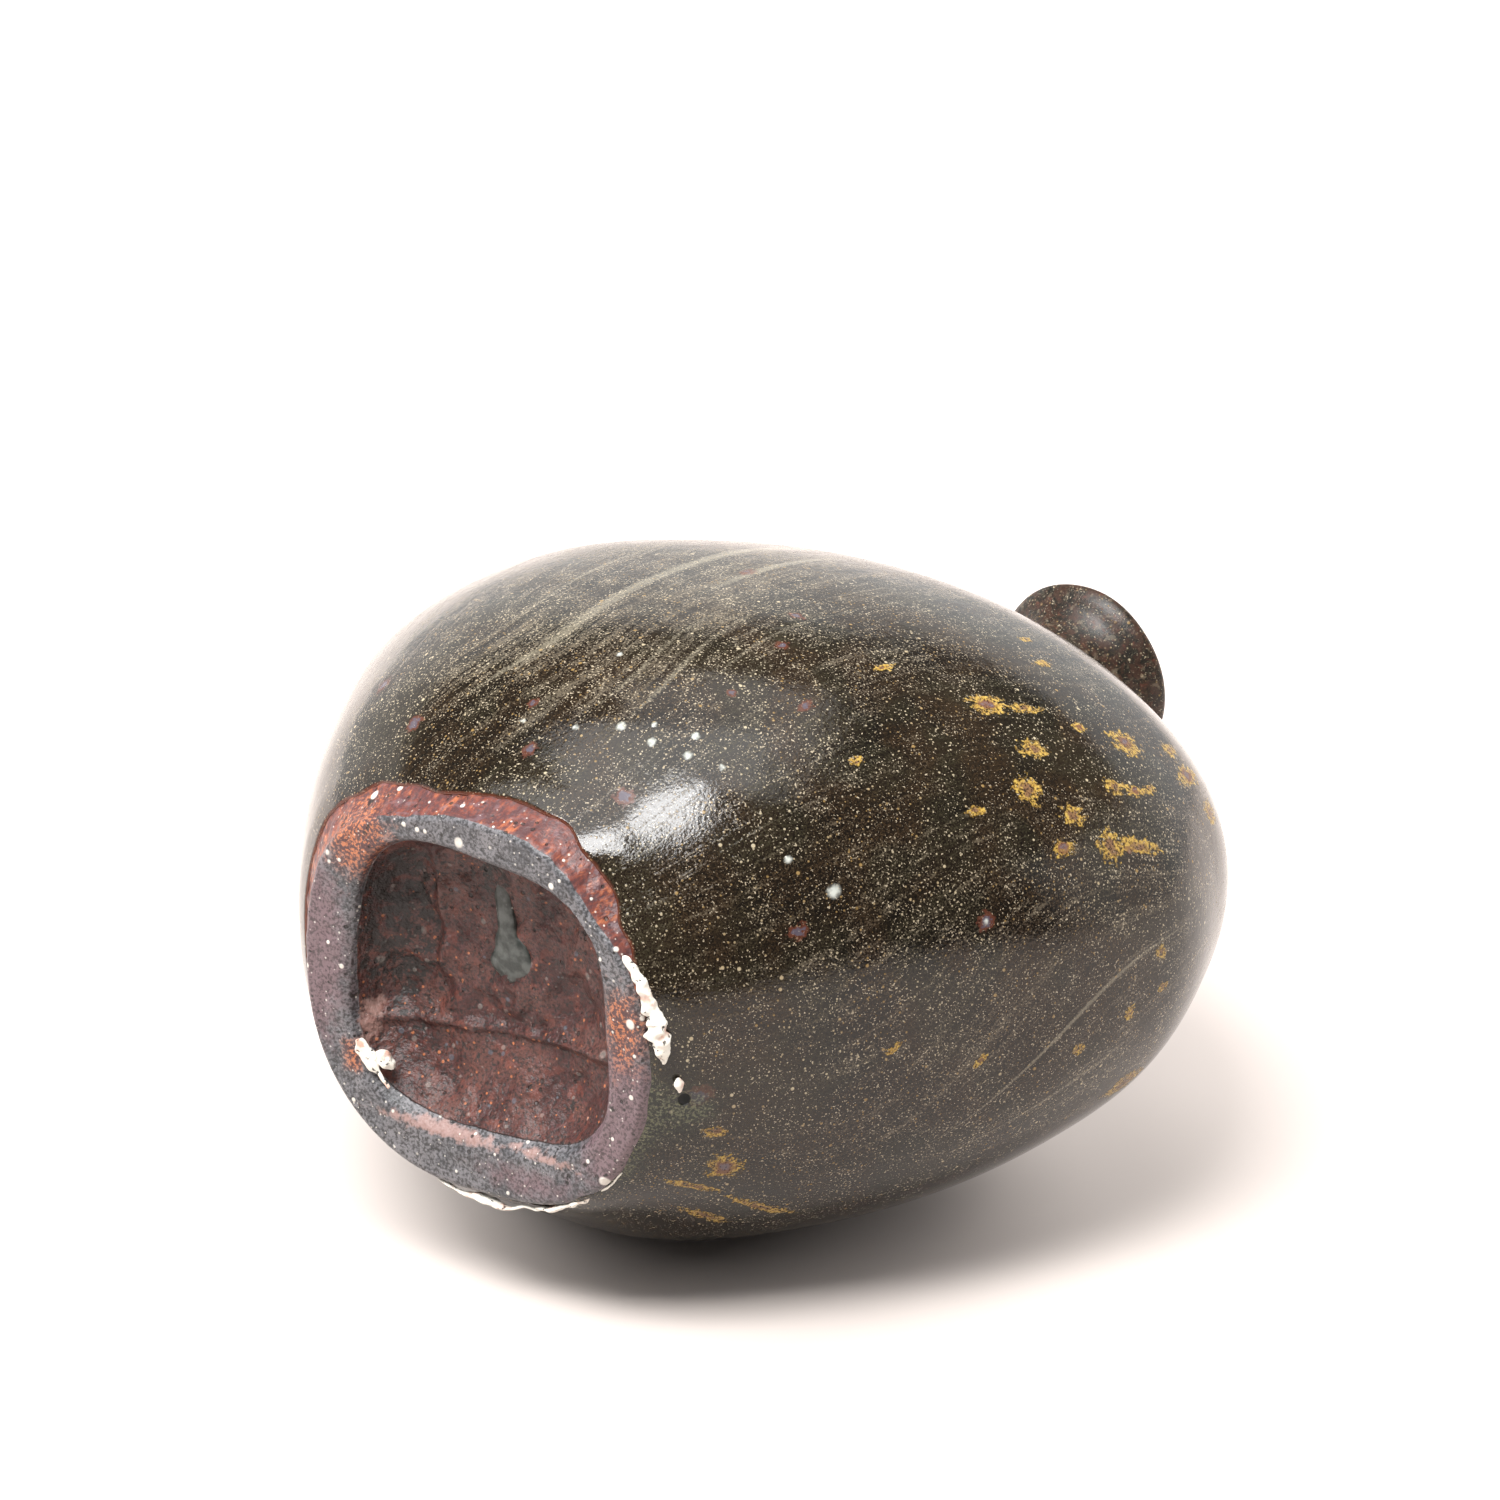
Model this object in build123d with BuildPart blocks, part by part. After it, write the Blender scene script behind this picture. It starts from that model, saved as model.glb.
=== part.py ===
from build123d import *
import math
import os

# Squat, flattened stoneware sake bottle (tokkuri), in millimetres.
# The bottle stands on its foot: origin at the centre of the foot, +Z up to the mouth, X across the broad
# faces, Y through the thin direction. The pot is clay members luted together with slip, then glazed,
# so every clay member and every coat of glaze is a solid of its own.

# ---------------------------------------------------------------- driving dimensions
HEIGHT = 140.0              # foot to the top of the glazed lip
FOOT_HEIGHT = 9.0           # coil foot below the thrown pot
GLAZE_LINE = 5.0            # bare clay below this height
NECK_SEAT = 124.0           # flat of the shoulder that carries the neck
SEAM_HEIGHT = 4.0           # slip worked round the root of the neck
WALL = 5.0                  # thrown wall
FLOOR_TOP = 15.0            # inside floor of the pot
BASE_TOP = 34.0             # the base stage ends here
WALL_TOP = 84.0             # the wall stage ends and the shoulder closes in
COAT = 0.6                  # outer glaze
LINER = 0.5                 # glaze poured inside
NECK_COAT = 0.5             # thinner glaze on the neck and lip

# Clay surface of the pot and foot: height, half width along X, half depth along Y.
CLAY_OVALS = [
    (0.0, 27.5, 27.0),
    (9.0, 35.1, 30.6),
    (20.0, 43.6, 37.2),
    (32.0, 51.7, 40.4),
    (46.0, 59.1, 41.1),
    (60.0, 62.8, 40.2),
    (70.0, 63.4, 38.9),
    (82.0, 60.4, 36.0),
    (94.0, 54.2, 31.2),
    (105.0, 43.5, 24.4),
    (114.0, 31.5, 18.2),
    (120.0, 21.5, 14.4),
    (NECK_SEAT, 14.5, 12.4),
]
CAVITY_FIRST = 2            # first oval that has the cavity behind it
FLOOR_SHRINK = 0.78         # inside floor, as a share of the cavity just above it

RECESS_MOUTH = 40.0         # rounded square cut under the foot, across its flats
RECESS_ROOF = 33.0
RECESS_CORNER = 11.0
FOOT_EDGE = 0.8             # worn outer edge of the foot

NECK_RADIUS = 11.0
NECK_BORE = 8.0
NECK_WAIST = 10.4           # thinnest outside radius, just under the flare
WAIST_HEIGHT = 130.5
LIP_RADIUS = 13.7           # clay lip, before its glaze
LIP_BORE = 11.2
LIP_THICKNESS = 2.4         # height of the rolled lip's edge
LIP_ROLL = 0.5              # how far the edge rounds out and in
THROAT_HEIGHT = 131.0       # the bore is straight up to here

WAD_RADIUS = 3.6            # lumps of setting clay stuck to the foot
SPLASH_RADIUS = 4.0         # glaze that dripped into the recess
SPLASH_THICKNESS = 0.7

CLAY_LIP_TOP = HEIGHT - NECK_COAT


def slope(ovals, index, column):
    """How far the oval's half size changes per millimetre of height, around one entry of the list."""
    low = ovals[max(index - 1, 0)]
    high = ovals[min(index + 1, len(ovals) - 1)]
    return (high[column] - low[column]) / (high[0] - low[0])


def offset_ovals(ovals, distance):
    """The same stack of ovals moved out, or in for a negative distance, square to the wall."""
    moved = []
    for index, (height, half_width, half_depth) in enumerate(ovals):
        grow_x = distance * math.hypot(1.0, slope(ovals, index, 1))
        grow_y = distance * math.hypot(1.0, slope(ovals, index, 2))
        moved.append((height, half_width + grow_x, half_depth + grow_y))
    return moved


def oval_stack(ovals):
    """One smooth solid through a stack of ovals."""
    with BuildPart() as stack:
        for height, half_width, half_depth in ovals:
            with BuildSketch(Plane.XY.offset(height)):
                Ellipse(half_width, half_depth)
        loft()
    return stack.part


def save(name, part):
    """Labels one finished piece and writes it under its own name."""
    part.label = name
    export_step(part, f"parts/{name}.step")


os.makedirs("parts", exist_ok=True)

# Stacks that several members share.
coat_ovals = offset_ovals(CLAY_OVALS, COAT)
cavity_ovals = offset_ovals(CLAY_OVALS, -WALL)[CAVITY_FIRST:-1]
first_width = cavity_ovals[0][1]
first_depth = cavity_ovals[0][2]
cavity_ovals.insert(0, (FLOOR_TOP, first_width * FLOOR_SHRINK, first_depth * FLOOR_SHRINK))
cavity_ovals.append((NECK_SEAT, NECK_BORE, NECK_BORE))
liner_ovals = [(height, wide - LINER, deep - LINER) for height, wide, deep in cavity_ovals]
liner_ovals[0] = (FLOOR_TOP + LINER, liner_ovals[0][1], liner_ovals[0][2])
seam_ovals = [
    (NECK_SEAT, CLAY_OVALS[-1][1], CLAY_OVALS[-1][2]),
    (NECK_SEAT + SEAM_HEIGHT, NECK_RADIUS + COAT, NECK_RADIUS + COAT),
]
neck_coat_ovals = [
    (NECK_SEAT, coat_ovals[-1][1], coat_ovals[-1][2]),
    (NECK_SEAT + SEAM_HEIGHT, NECK_RADIUS + 2 * COAT, NECK_RADIUS + 2 * COAT),
]
clay_shape = oval_stack(CLAY_OVALS)
coat_shape = oval_stack(coat_ovals)
cavity_shape = oval_stack(cavity_ovals)
liner_shape = oval_stack(liner_ovals)
seam_shape = oval_stack(seam_ovals)
neck_coat_shape = oval_stack(neck_coat_ovals)

# ---------------------------------------------------------------- foot ring
# A thick coil luted under the pot and cut to a rounded square inside.
with BuildPart() as foot_ring:
    add(clay_shape)
    split(bisect_by=Plane.XY.offset(FOOT_HEIGHT), keep=Keep.BOTTOM)
    with BuildSketch(Plane.XY):
        RectangleRounded(RECESS_MOUTH, RECESS_MOUTH, RECESS_CORNER)
    with BuildSketch(Plane.XY.offset(FOOT_HEIGHT)):
        RectangleRounded(RECESS_ROOF, RECESS_ROOF, RECESS_CORNER * RECESS_ROOF / RECESS_MOUTH)
    loft(mode=Mode.SUBTRACT)
    foot_rim = foot_ring.faces().sort_by(Axis.Z)[0].outer_wire().edges()
    chamfer(foot_rim, FOOT_EDGE)
save("foot_ring", foot_ring.part)

# ---------------------------------------------------------------- thrown pot, in three stages
# One hollow wall from floor to neck seat, then beaten flat on two sides. It is kept as the three stages
# it is thrown in: the base with the floor, the wall of the belly, and the shoulder that closes over it.
with BuildPart() as pot_base:
    add(clay_shape)
    split(bisect_by=Plane.XY.offset(FOOT_HEIGHT), keep=Keep.TOP)
    split(bisect_by=Plane.XY.offset(BASE_TOP), keep=Keep.BOTTOM)
    add(cavity_shape, mode=Mode.SUBTRACT)
save("pot_base", pot_base.part)

with BuildPart() as pot_wall:
    add(clay_shape)
    split(bisect_by=Plane.XY.offset(BASE_TOP), keep=Keep.TOP)
    split(bisect_by=Plane.XY.offset(WALL_TOP), keep=Keep.BOTTOM)
    add(cavity_shape, mode=Mode.SUBTRACT)
save("pot_wall", pot_wall.part)

with BuildPart() as pot_shoulder:
    add(clay_shape)
    split(bisect_by=Plane.XY.offset(WALL_TOP), keep=Keep.TOP)
    add(cavity_shape, mode=Mode.SUBTRACT)
save("pot_shoulder", pot_shoulder.part)

# ---------------------------------------------------------------- neck with its flared lip
# The blank is the neck's outside, solid to the axis; the bore is then opened through it.
with BuildPart() as neck_blank:
    with BuildSketch(Plane.XZ):
        with BuildLine():
            outside = Spline(
                (NECK_RADIUS, NECK_SEAT + SEAM_HEIGHT),
                (NECK_WAIST, WAIST_HEIGHT),
                (LIP_RADIUS, CLAY_LIP_TOP - LIP_THICKNESS),
                tangents=[(0, 1), (1, 1)],
            )
            lip_edge = ThreePointArc(
                outside @ 1,
                (LIP_RADIUS + LIP_ROLL, CLAY_LIP_TOP - LIP_THICKNESS / 2),
                (LIP_RADIUS - LIP_ROLL, CLAY_LIP_TOP),
            )
            Polyline(
                lip_edge @ 1,
                (0, CLAY_LIP_TOP),
                (0, NECK_SEAT),
                (NECK_RADIUS, NECK_SEAT),
                outside @ 0,
            )
        make_face()
    revolve(axis=Axis.Z)

with BuildPart() as neck:
    add(neck_blank.part)
    with BuildSketch(Plane.XZ):
        with BuildLine():
            throat = Spline(
                (LIP_BORE, CLAY_LIP_TOP),
                (NECK_BORE, THROAT_HEIGHT),
                tangents=[(-1, -1), (0, -1)],
            )
            Polyline(
                throat @ 1,
                (NECK_BORE, NECK_SEAT),
                (0, NECK_SEAT),
                (0, CLAY_LIP_TOP),
                throat @ 0,
            )
        make_face()
    revolve(axis=Axis.Z, mode=Mode.SUBTRACT)
save("neck", neck.part)

# ---------------------------------------------------------------- slip seam round the neck's root
with BuildPart() as slip_seam:
    add(seam_shape)
    with BuildSketch(Plane.XY.offset(NECK_SEAT)):
        Circle(NECK_RADIUS)
    extrude(amount=SEAM_HEIGHT, mode=Mode.SUBTRACT)
save("slip_seam", slip_seam.part)

# ---------------------------------------------------------------- iron glaze outside the pot
with BuildPart() as body_glaze:
    add(coat_shape)
    add(clay_shape, mode=Mode.SUBTRACT)
    split(bisect_by=Plane.XY.offset(GLAZE_LINE), keep=Keep.TOP)
save("body_glaze", body_glaze.part)

# ---------------------------------------------------------------- glaze on the seam, neck and lip
with BuildPart() as neck_glaze:
    add(neck_coat_shape)
    with BuildSketch(Plane.XZ):
        with BuildLine():
            coat_outside = Spline(
                (NECK_RADIUS + 2 * COAT, NECK_SEAT + SEAM_HEIGHT),
                (NECK_WAIST + NECK_COAT, WAIST_HEIGHT),
                (LIP_RADIUS + NECK_COAT, CLAY_LIP_TOP - LIP_THICKNESS),
                tangents=[(-1, 2), (1, 1)],
            )
            coat_edge = ThreePointArc(
                coat_outside @ 1,
                (LIP_RADIUS + NECK_COAT + LIP_ROLL, CLAY_LIP_TOP - LIP_THICKNESS / 2),
                (LIP_RADIUS - LIP_ROLL, HEIGHT),
            )
            Polyline(
                coat_edge @ 1,
                (0, HEIGHT),
                (0, NECK_SEAT + SEAM_HEIGHT),
                coat_outside @ 0,
            )
        make_face()
    revolve(axis=Axis.Z)
    add(seam_shape, mode=Mode.SUBTRACT)
    add(neck_blank.part, mode=Mode.SUBTRACT)
    with BuildSketch(Plane.XY.offset(CLAY_LIP_TOP)):
        Circle(LIP_BORE)
    extrude(amount=NECK_COAT, mode=Mode.SUBTRACT)
save("neck_glaze", neck_glaze.part)

# ---------------------------------------------------------------- glaze poured inside the pot
with BuildPart() as inner_glaze:
    add(cavity_shape)
    add(liner_shape, mode=Mode.SUBTRACT)
save("inner_glaze", inner_glaze.part)

# ---------------------------------------------------------------- setting-clay wads stuck to the foot
# Height, bearing round the foot and distance out of each lump; each is cut back to the clay it grew on.
WADS = [
    (3.6, -12.0, 28.6),
    (3.6, 62.0, 28.0),
    (3.6, 96.0, 27.6),
]
with BuildPart() as kiln_wads:
    for height, bearing, reach in WADS:
        east = reach * math.cos(math.radians(bearing))
        north = reach * math.sin(math.radians(bearing))
        with Locations((east, north, height)):
            Sphere(WAD_RADIUS)
    add(coat_shape, mode=Mode.SUBTRACT)
save("kiln_wads", kiln_wads.part)

# ---------------------------------------------------------------- glaze dripped into the recess
with BuildPart() as recess_splash:
    with BuildSketch(Plane.XY.offset(FOOT_HEIGHT)):
        with Locations((0.5, -5.5)):
            Ellipse(SPLASH_RADIUS, SPLASH_RADIUS * 0.7)
    extrude(amount=-SPLASH_THICKNESS)
save("recess_splash", recess_splash.part)
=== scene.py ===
"""Squat, flattened stoneware sake bottle with a dark iron glaze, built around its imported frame.

Every member is a surface written as a function of a bearing round the pot and a step along its section.
Lengths in the tables are millimetres; the meshes are metres, in the frame's own axes: +Z up the bottle,
X across its broad faces, Y through its thin direction.
"""

import logging
import math
from dataclasses import dataclass, field
from enum import Enum
from typing import Any

import bpy
import numpy as np
from mathutils import Matrix, Vector


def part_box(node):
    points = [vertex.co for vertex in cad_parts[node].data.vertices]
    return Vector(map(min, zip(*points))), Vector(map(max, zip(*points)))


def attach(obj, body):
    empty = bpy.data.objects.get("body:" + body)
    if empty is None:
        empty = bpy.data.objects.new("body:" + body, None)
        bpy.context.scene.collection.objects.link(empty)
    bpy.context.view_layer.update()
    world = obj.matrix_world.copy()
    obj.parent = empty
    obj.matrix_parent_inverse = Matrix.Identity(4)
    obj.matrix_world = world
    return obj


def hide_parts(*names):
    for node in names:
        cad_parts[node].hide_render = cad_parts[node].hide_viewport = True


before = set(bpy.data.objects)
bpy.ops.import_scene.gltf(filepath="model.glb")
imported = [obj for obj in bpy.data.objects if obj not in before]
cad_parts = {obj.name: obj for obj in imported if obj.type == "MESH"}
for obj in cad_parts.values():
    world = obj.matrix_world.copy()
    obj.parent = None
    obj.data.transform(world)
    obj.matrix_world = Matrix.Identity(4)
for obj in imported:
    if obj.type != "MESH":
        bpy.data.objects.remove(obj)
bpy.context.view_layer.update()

logging.basicConfig(level=logging.INFO, format="%(message)s")
log = logging.getLogger("bottle")

MM = 0.001
ROOT = "root"
BEARINGS = 400
TAU = 2.0 * math.pi
Array = np.ndarray
Colour = tuple[float, float, float]


class Slot(Enum):
    """The record's material slots."""

    CLAY = "bare_clay"
    INNER_CLAY = "inner_clay"
    GLAZE = "iron_glaze"
    LINER = "liner_glaze"
    CRUST = "wad_crust"
    DRIP = "drip_glaze"


class Trait(Enum):
    """Names of the values that a mesh carries for its material, one per vertex."""

    COMBED = "combed"
    STREAKY = "streaky"
    OCHRE = "ochre_marks"
    RUST = "rust_marks"
    BEADS = "pale_beads"
    EDGE = "glaze_edge"
    DRY = "dry_glaze"
    POOL = "green_pool"
    RING = "foot_underside"
    RECESS = "foot_recess"
    FLASH = "flashing"
    # Black on the recess's left and top walls: partly a real stain, partly painted shade.
    STAIN_AND_SHADE = "black_stain_and_shade"
    ABRADED = "abraded_rim"
    HEATHER = "purple_ring"


# ------------------------------------------------------------------------------------ numbers on a grid


def smooth_step(low: float, high: float, value: Array) -> Array:
    """0 below low, 1 above high, and a smooth S between them."""
    share = np.clip((value - low) / (high - low), 0.0, 1.0)
    return share * share * (3.0 - 2.0 * share)


def hermite(at: Array, knots: Array, values: Array) -> Array:
    """Smooth curve through knots: a cubic on each span, its end slopes taken from the neighbouring knots.

    Args:
        at: Where to read the curve.
        knots: Rising positions of the known values.
        values: The known values.

    Returns:
        The curve's value at every entry of at.
    """
    slopes = np.gradient(values, knots)
    span = np.clip(np.searchsorted(knots, at) - 1, 0, len(knots) - 2)
    width = knots[span + 1] - knots[span]
    share = np.clip((at - knots[span]) / width, 0.0, 1.0)
    rest = 1.0 - share
    return (
        (1.0 + 2.0 * share) * rest**2 * values[span]
        + share * rest**2 * width * slopes[span]
        + share**2 * (3.0 - 2.0 * share) * values[span + 1]
        - share**2 * rest * width * slopes[span + 1]
    )


def turn_between(bearing: Array, other: float) -> Array:
    """Signed difference of two bearings, in degrees, from -180 to 180."""
    return (bearing - other + 180.0) % 360.0 - 180.0


@dataclass(frozen=True)
class Ripple:
    """Smooth seeded unevenness: a sum of plane waves in random directions through space."""

    seed: int
    wavelength: float
    waves: int = 28

    def at(self, points: Array) -> Array:
        """Height of the ripple, about -1 to 1, at each point in millimetres."""
        rng = np.random.default_rng(self.seed)
        ways = rng.normal(size=(self.waves, 3))
        ways /= np.linalg.norm(ways, axis=1, keepdims=True)
        ways *= TAU / (self.wavelength * rng.uniform(0.7, 1.5, (self.waves, 1)))
        phases = rng.uniform(0.0, TAU, self.waves)
        total = np.zeros(points.shape[:-1])
        for way, phase in zip(ways, phases):
            total += np.sin(points @ way + phase)
        return total / math.sqrt(self.waves)


@dataclass
class Skin:
    """A closed mesh made from rows of points, each row running once round the bottle.

    Going down the rows and then along a bearing turns the faces outward when the rows run from the top of
    the outside to its bottom and back up the inside.
    """

    name: str
    rows: Array
    start_pole: Array | None = None
    end_pole: Array | None = None
    traits: dict[Trait, Array] = field(default_factory=dict)

    def build(self) -> bpy.types.Object:
        """Makes the mesh object, in metres, with its traits as vertex attributes."""
        count, around = self.rows.shape[:2]
        looped = self.start_pole is None
        above = np.arange(count if looped else count - 1)
        i, j = np.meshgrid(above, np.arange(around), indexing="ij")
        below, beside = (i + 1) % count, (j + 1) % around
        quads = np.stack(
            [i * around + j, below * around + j, below * around + beside, i * around + beside], axis=-1
        ).reshape(-1, 4)
        points = self.rows.reshape(-1, 3)
        triangles = np.zeros((0, 3), int)
        if not looped:
            ring = np.arange(around)
            after = (ring + 1) % around
            last = (count - 1) * around
            top, bottom = len(points), len(points) + 1
            points = np.vstack([points, self.start_pole, self.end_pole])
            triangles = np.vstack([
                np.stack([np.full(around, top), ring, after], axis=-1),
                np.stack([last + ring, np.full(around, bottom), last + after], axis=-1),
            ])
        mesh = bpy.data.meshes.new(self.name)
        mesh.vertices.add(len(points))
        mesh.vertices.foreach_set("co", (points * MM).astype(np.float32).ravel())
        corners = np.concatenate([quads.ravel(), triangles.ravel()])
        sizes = np.concatenate([np.full(len(quads), 4), np.full(len(triangles), 3)])
        mesh.loops.add(len(corners))
        mesh.loops.foreach_set("vertex_index", corners.astype(np.int32))
        mesh.polygons.add(len(sizes))
        mesh.polygons.foreach_set("loop_start", (np.cumsum(sizes) - sizes).astype(np.int32))
        mesh.polygons.foreach_set("use_smooth", np.ones(len(sizes), bool))
        mesh.update(calc_edges=True)
        mesh.validate()
        for trait, values in self.traits.items():
            self._store(mesh, trait, values, len(points))
        made = bpy.data.objects.new(self.name, mesh)
        bpy.context.scene.collection.objects.link(made)
        return made

    def _store(self, mesh: bpy.types.Mesh, trait: Trait, values: Array, total: int) -> None:
        """Writes one trait; poles repeat the nearest row's mean."""
        vector = values.ndim == 3
        flat = values.reshape(-1, 3) if vector else values.reshape(-1, 1)
        if total > len(flat):
            around = self.rows.shape[1]
            ends = [flat[:around].mean(0), flat[-around:].mean(0)]
            flat = np.vstack([flat, *ends])
        kind, key = ("FLOAT_VECTOR", "vector") if vector else ("FLOAT", "value")
        attribute = mesh.attributes.new(trait.value, kind, "POINT")
        attribute.data.foreach_set(key, flat.astype(np.float32).ravel())


# ------------------------------------------------------------------------------------ the pot's shape


@dataclass(frozen=True)
class Push:
    """A place where the soft foot was pressed out, or in for a negative depth."""

    bearing: float
    spread: float
    depth: float


@dataclass(frozen=True)
class PotShape:
    """Outside of the glazed pot: ovals whose size follows the height, squarer near the foot.

    The ovals are shares of the frame's box: height over full height, then half width and half depth over
    the box's own halves.
    """

    height: float
    half_width: float
    half_depth: float
    coat: float = 0.6
    wall: float = 5.0
    ovals: tuple[tuple[float, float, float], ...] = (
        (0.000, 0.429, 0.647),
        (0.064, 0.557, 0.746),
        (0.143, 0.690, 0.905),
        (0.229, 0.816, 0.983),
        (0.329, 0.932, 1.000),
        (0.429, 0.989, 0.978),
        (0.500, 0.999, 0.947),
        (0.586, 0.952, 0.878),
        (0.671, 0.865, 0.775),
        (0.750, 0.705, 0.615),
        (0.814, 0.501, 0.451),
        (0.857, 0.345, 0.360),
        (0.886, 0.242, 0.317),
    )
    foot_pushes: tuple[Push, ...] = (
        Push(-143.0, 14.0, 0.9),
        Push(-111.0, 12.0, -0.9),
        Push(-69.0, 12.0, 0.7),
        Push(-44.0, 12.0, -1.6),
        Push(8.0, 18.0, 0.8),
        Push(80.0, 22.0, -1.0),
        Push(131.0, 25.0, -0.4),
    )
    push_fade: float = 9.0
    beaten: Ripple = Ripple(seed=3, wavelength=46.0)
    beaten_depth: float = 0.22

    @classmethod
    def from_frame(cls) -> "PotShape":
        """Takes the pot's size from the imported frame's box."""
        low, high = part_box("body_glaze")
        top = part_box("neck_glaze")[1].z
        return cls(top / MM, (high.x - low.x) / 2 / MM, (high.y - low.y) / 2 / MM)

    @property
    def seat(self) -> float:
        """Height of the neck's seat on the shoulder."""
        return self.ovals[-1][0] * self.height

    def oval_point(self, bearing: Array, height: Array) -> Array:
        """A point of the glazed outside, before any unevenness.

        Each oval is a superellipse: half sizes times the cosine and sine of the bearing, divided by the
        n-th root of the sum of their n-th powers, with n falling from 2.3 at the foot to 2 at the neck.
        """
        table = np.array(self.ovals)
        knots = table[:, 0] * self.height
        wide = hermite(height, knots, table[:, 1] * self.half_width)
        deep = hermite(height, knots, table[:, 2] * self.half_depth)
        angle = np.radians(bearing)
        cos, sin = np.cos(angle), np.sin(angle)
        power = np.interp(height, [0.0, 0.5 * self.height, self.seat], [2.29, 2.17, 2.0])
        reach = (np.abs(cos) ** power + np.abs(sin) ** power) ** (-1.0 / power)
        push = np.zeros(np.broadcast(bearing, height).shape)
        for press in self.foot_pushes:
            push += press.depth * np.exp(-((turn_between(bearing, press.bearing) / press.spread) ** 2))
        push *= np.exp(-np.abs(height) / self.push_fade)
        return np.stack(
            [wide * reach * cos + push * cos, deep * reach * sin + push * sin, height + 0.0 * reach],
            axis=-1,
        )

    def normal(self, bearing: Array, height: Array) -> Array:
        """Outward direction of the oval surface, from the points just beside it."""
        low = np.clip(height - 0.3, 0.0, self.seat)
        high = np.clip(height + 0.3, 0.0, self.seat)
        around = self.oval_point(bearing + 0.2, height) - self.oval_point(bearing - 0.2, height)
        up = self.oval_point(bearing, high) - self.oval_point(bearing, low)
        out = np.cross(around, up)
        return out / np.linalg.norm(out, axis=-1, keepdims=True)

    def surface(self, bearing: Array, height: Array, lift: Array | float = 0.0) -> Array:
        """The uneven outside, moved out by lift along its normal."""
        points = self.oval_point(bearing, height)
        rise = self.beaten_depth * self.beaten.at(points) - self.beaten_depth + lift
        return points + self.normal(bearing, height) * np.asarray(rise)[..., None]


@dataclass(frozen=True)
class GlazeLine:
    """Height above the foot where the dipped glaze stops, bearing by bearing."""

    stops: tuple[tuple[float, float], ...] = (
        (-180.0, 4.6),
        (-150.0, 5.6),
        (-130.0, 5.8),
        (-112.0, 4.6),
        (-104.0, 3.7),
        (-90.0, 4.2),
        (-78.0, 4.9),
        (-62.0, 4.0),
        (-48.0, 2.9),
        (-34.0, 1.8),
        (-22.0, 0.9),
        (0.0, 0.3),
        (30.0, 0.3),
        (60.0, 0.6),
        (78.0, 2.0),
        (95.0, 3.6),
        (125.0, 5.0),
        (150.0, 4.4),
        (180.0, 4.6),
    )
    ragged: Ripple = Ripple(seed=11, wavelength=6.0)
    raggedness: float = 0.28

    def height(self, bearing: Array) -> Array:
        """Height of the glaze's edge, with small runs and gaps in it."""
        knots, heights = np.array(self.stops).T
        angle = np.radians(bearing)
        circle = 28.0 * np.stack([np.cos(angle), np.sin(angle), 0.0 * angle], axis=-1)
        return hermite(bearing, knots, heights) + self.raggedness * self.ragged.at(circle)


# ------------------------------------------------------------------------------------ marks in the glaze


@dataclass(frozen=True)
class Mark:
    """One kiln mark: where it is on the pot, its length along the glaze's run and its width."""

    bearing: float
    height: float
    length: float
    width: float


OCHRE_MARKS = (
    Mark(-56.3, 77.5, 4.0, 1.8), Mark(-39.5, 76.5, 7.0, 4.6), Mark(-31.3, 74.0, 3.4, 1.8),
    Mark(-32.2, 70.4, 5.4, 2.2), Mark(-34.0, 67.0, 3.8, 2.6), Mark(-44.5, 69.8, 3.0, 1.9),
    Mark(-50.3, 64.0, 6.4, 1.9), Mark(-52.7, 59.0, 7.0, 4.0), Mark(-43.8, 58.7, 5.2, 3.0),
    Mark(-32.0, 56.8, 4.2, 3.4), Mark(-38.0, 52.7, 4.6, 4.6), Mark(-27.5, 52.5, 4.0, 2.5),
    Mark(-25.3, 60.1, 4.4, 5.0), Mark(-23.7, 64.8, 9.0, 2.4), Mark(-63.8, 51.8, 4.2, 1.5),
    Mark(-37.0, 43.4, 3.0, 1.7), Mark(-49.7, 34.5, 2.6, 1.4), Mark(-3.5, 64.5, 2.4, 2.2),
    Mark(6.2, 58.9, 2.4, 2.2), Mark(3.8, 65.0, 2.4, 1.8), Mark(10.0, 50.6, 2.2, 1.7),
    Mark(7.2, 36.6, 2.2, 1.7), Mark(2.0, 26.0, 3.2, 1.2), Mark(30.0, 10.5, 5.4, 4.6),
    Mark(37.5, 8.7, 9.0, 1.5), Mark(41.3, 18.0, 13.0, 1.8), Mark(48.3, 14.0, 9.0, 2.2),
    Mark(19.2, 7.8, 3.4, 2.2), Mark(-34.2, 87.4, 4.4, 2.4), Mark(-28.7, 87.4, 8.0, 3.8),
    Mark(-20.0, 88.7, 5.4, 3.6), Mark(-61.3, 82.0, 4.2, 1.5), Mark(25.8, 64.5, 8.0, 5.5),
    Mark(-152.0, 48.0, 5.0, 2.6), Mark(-166.0, 70.0, 4.0, 3.2), Mark(118.0, 62.0, 6.0, 3.4),
    Mark(132.0, 44.0, 4.2, 2.8), Mark(88.0, 80.0, 5.0, 2.4), Mark(104.0, 30.0, 3.4, 2.8),
)
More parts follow.
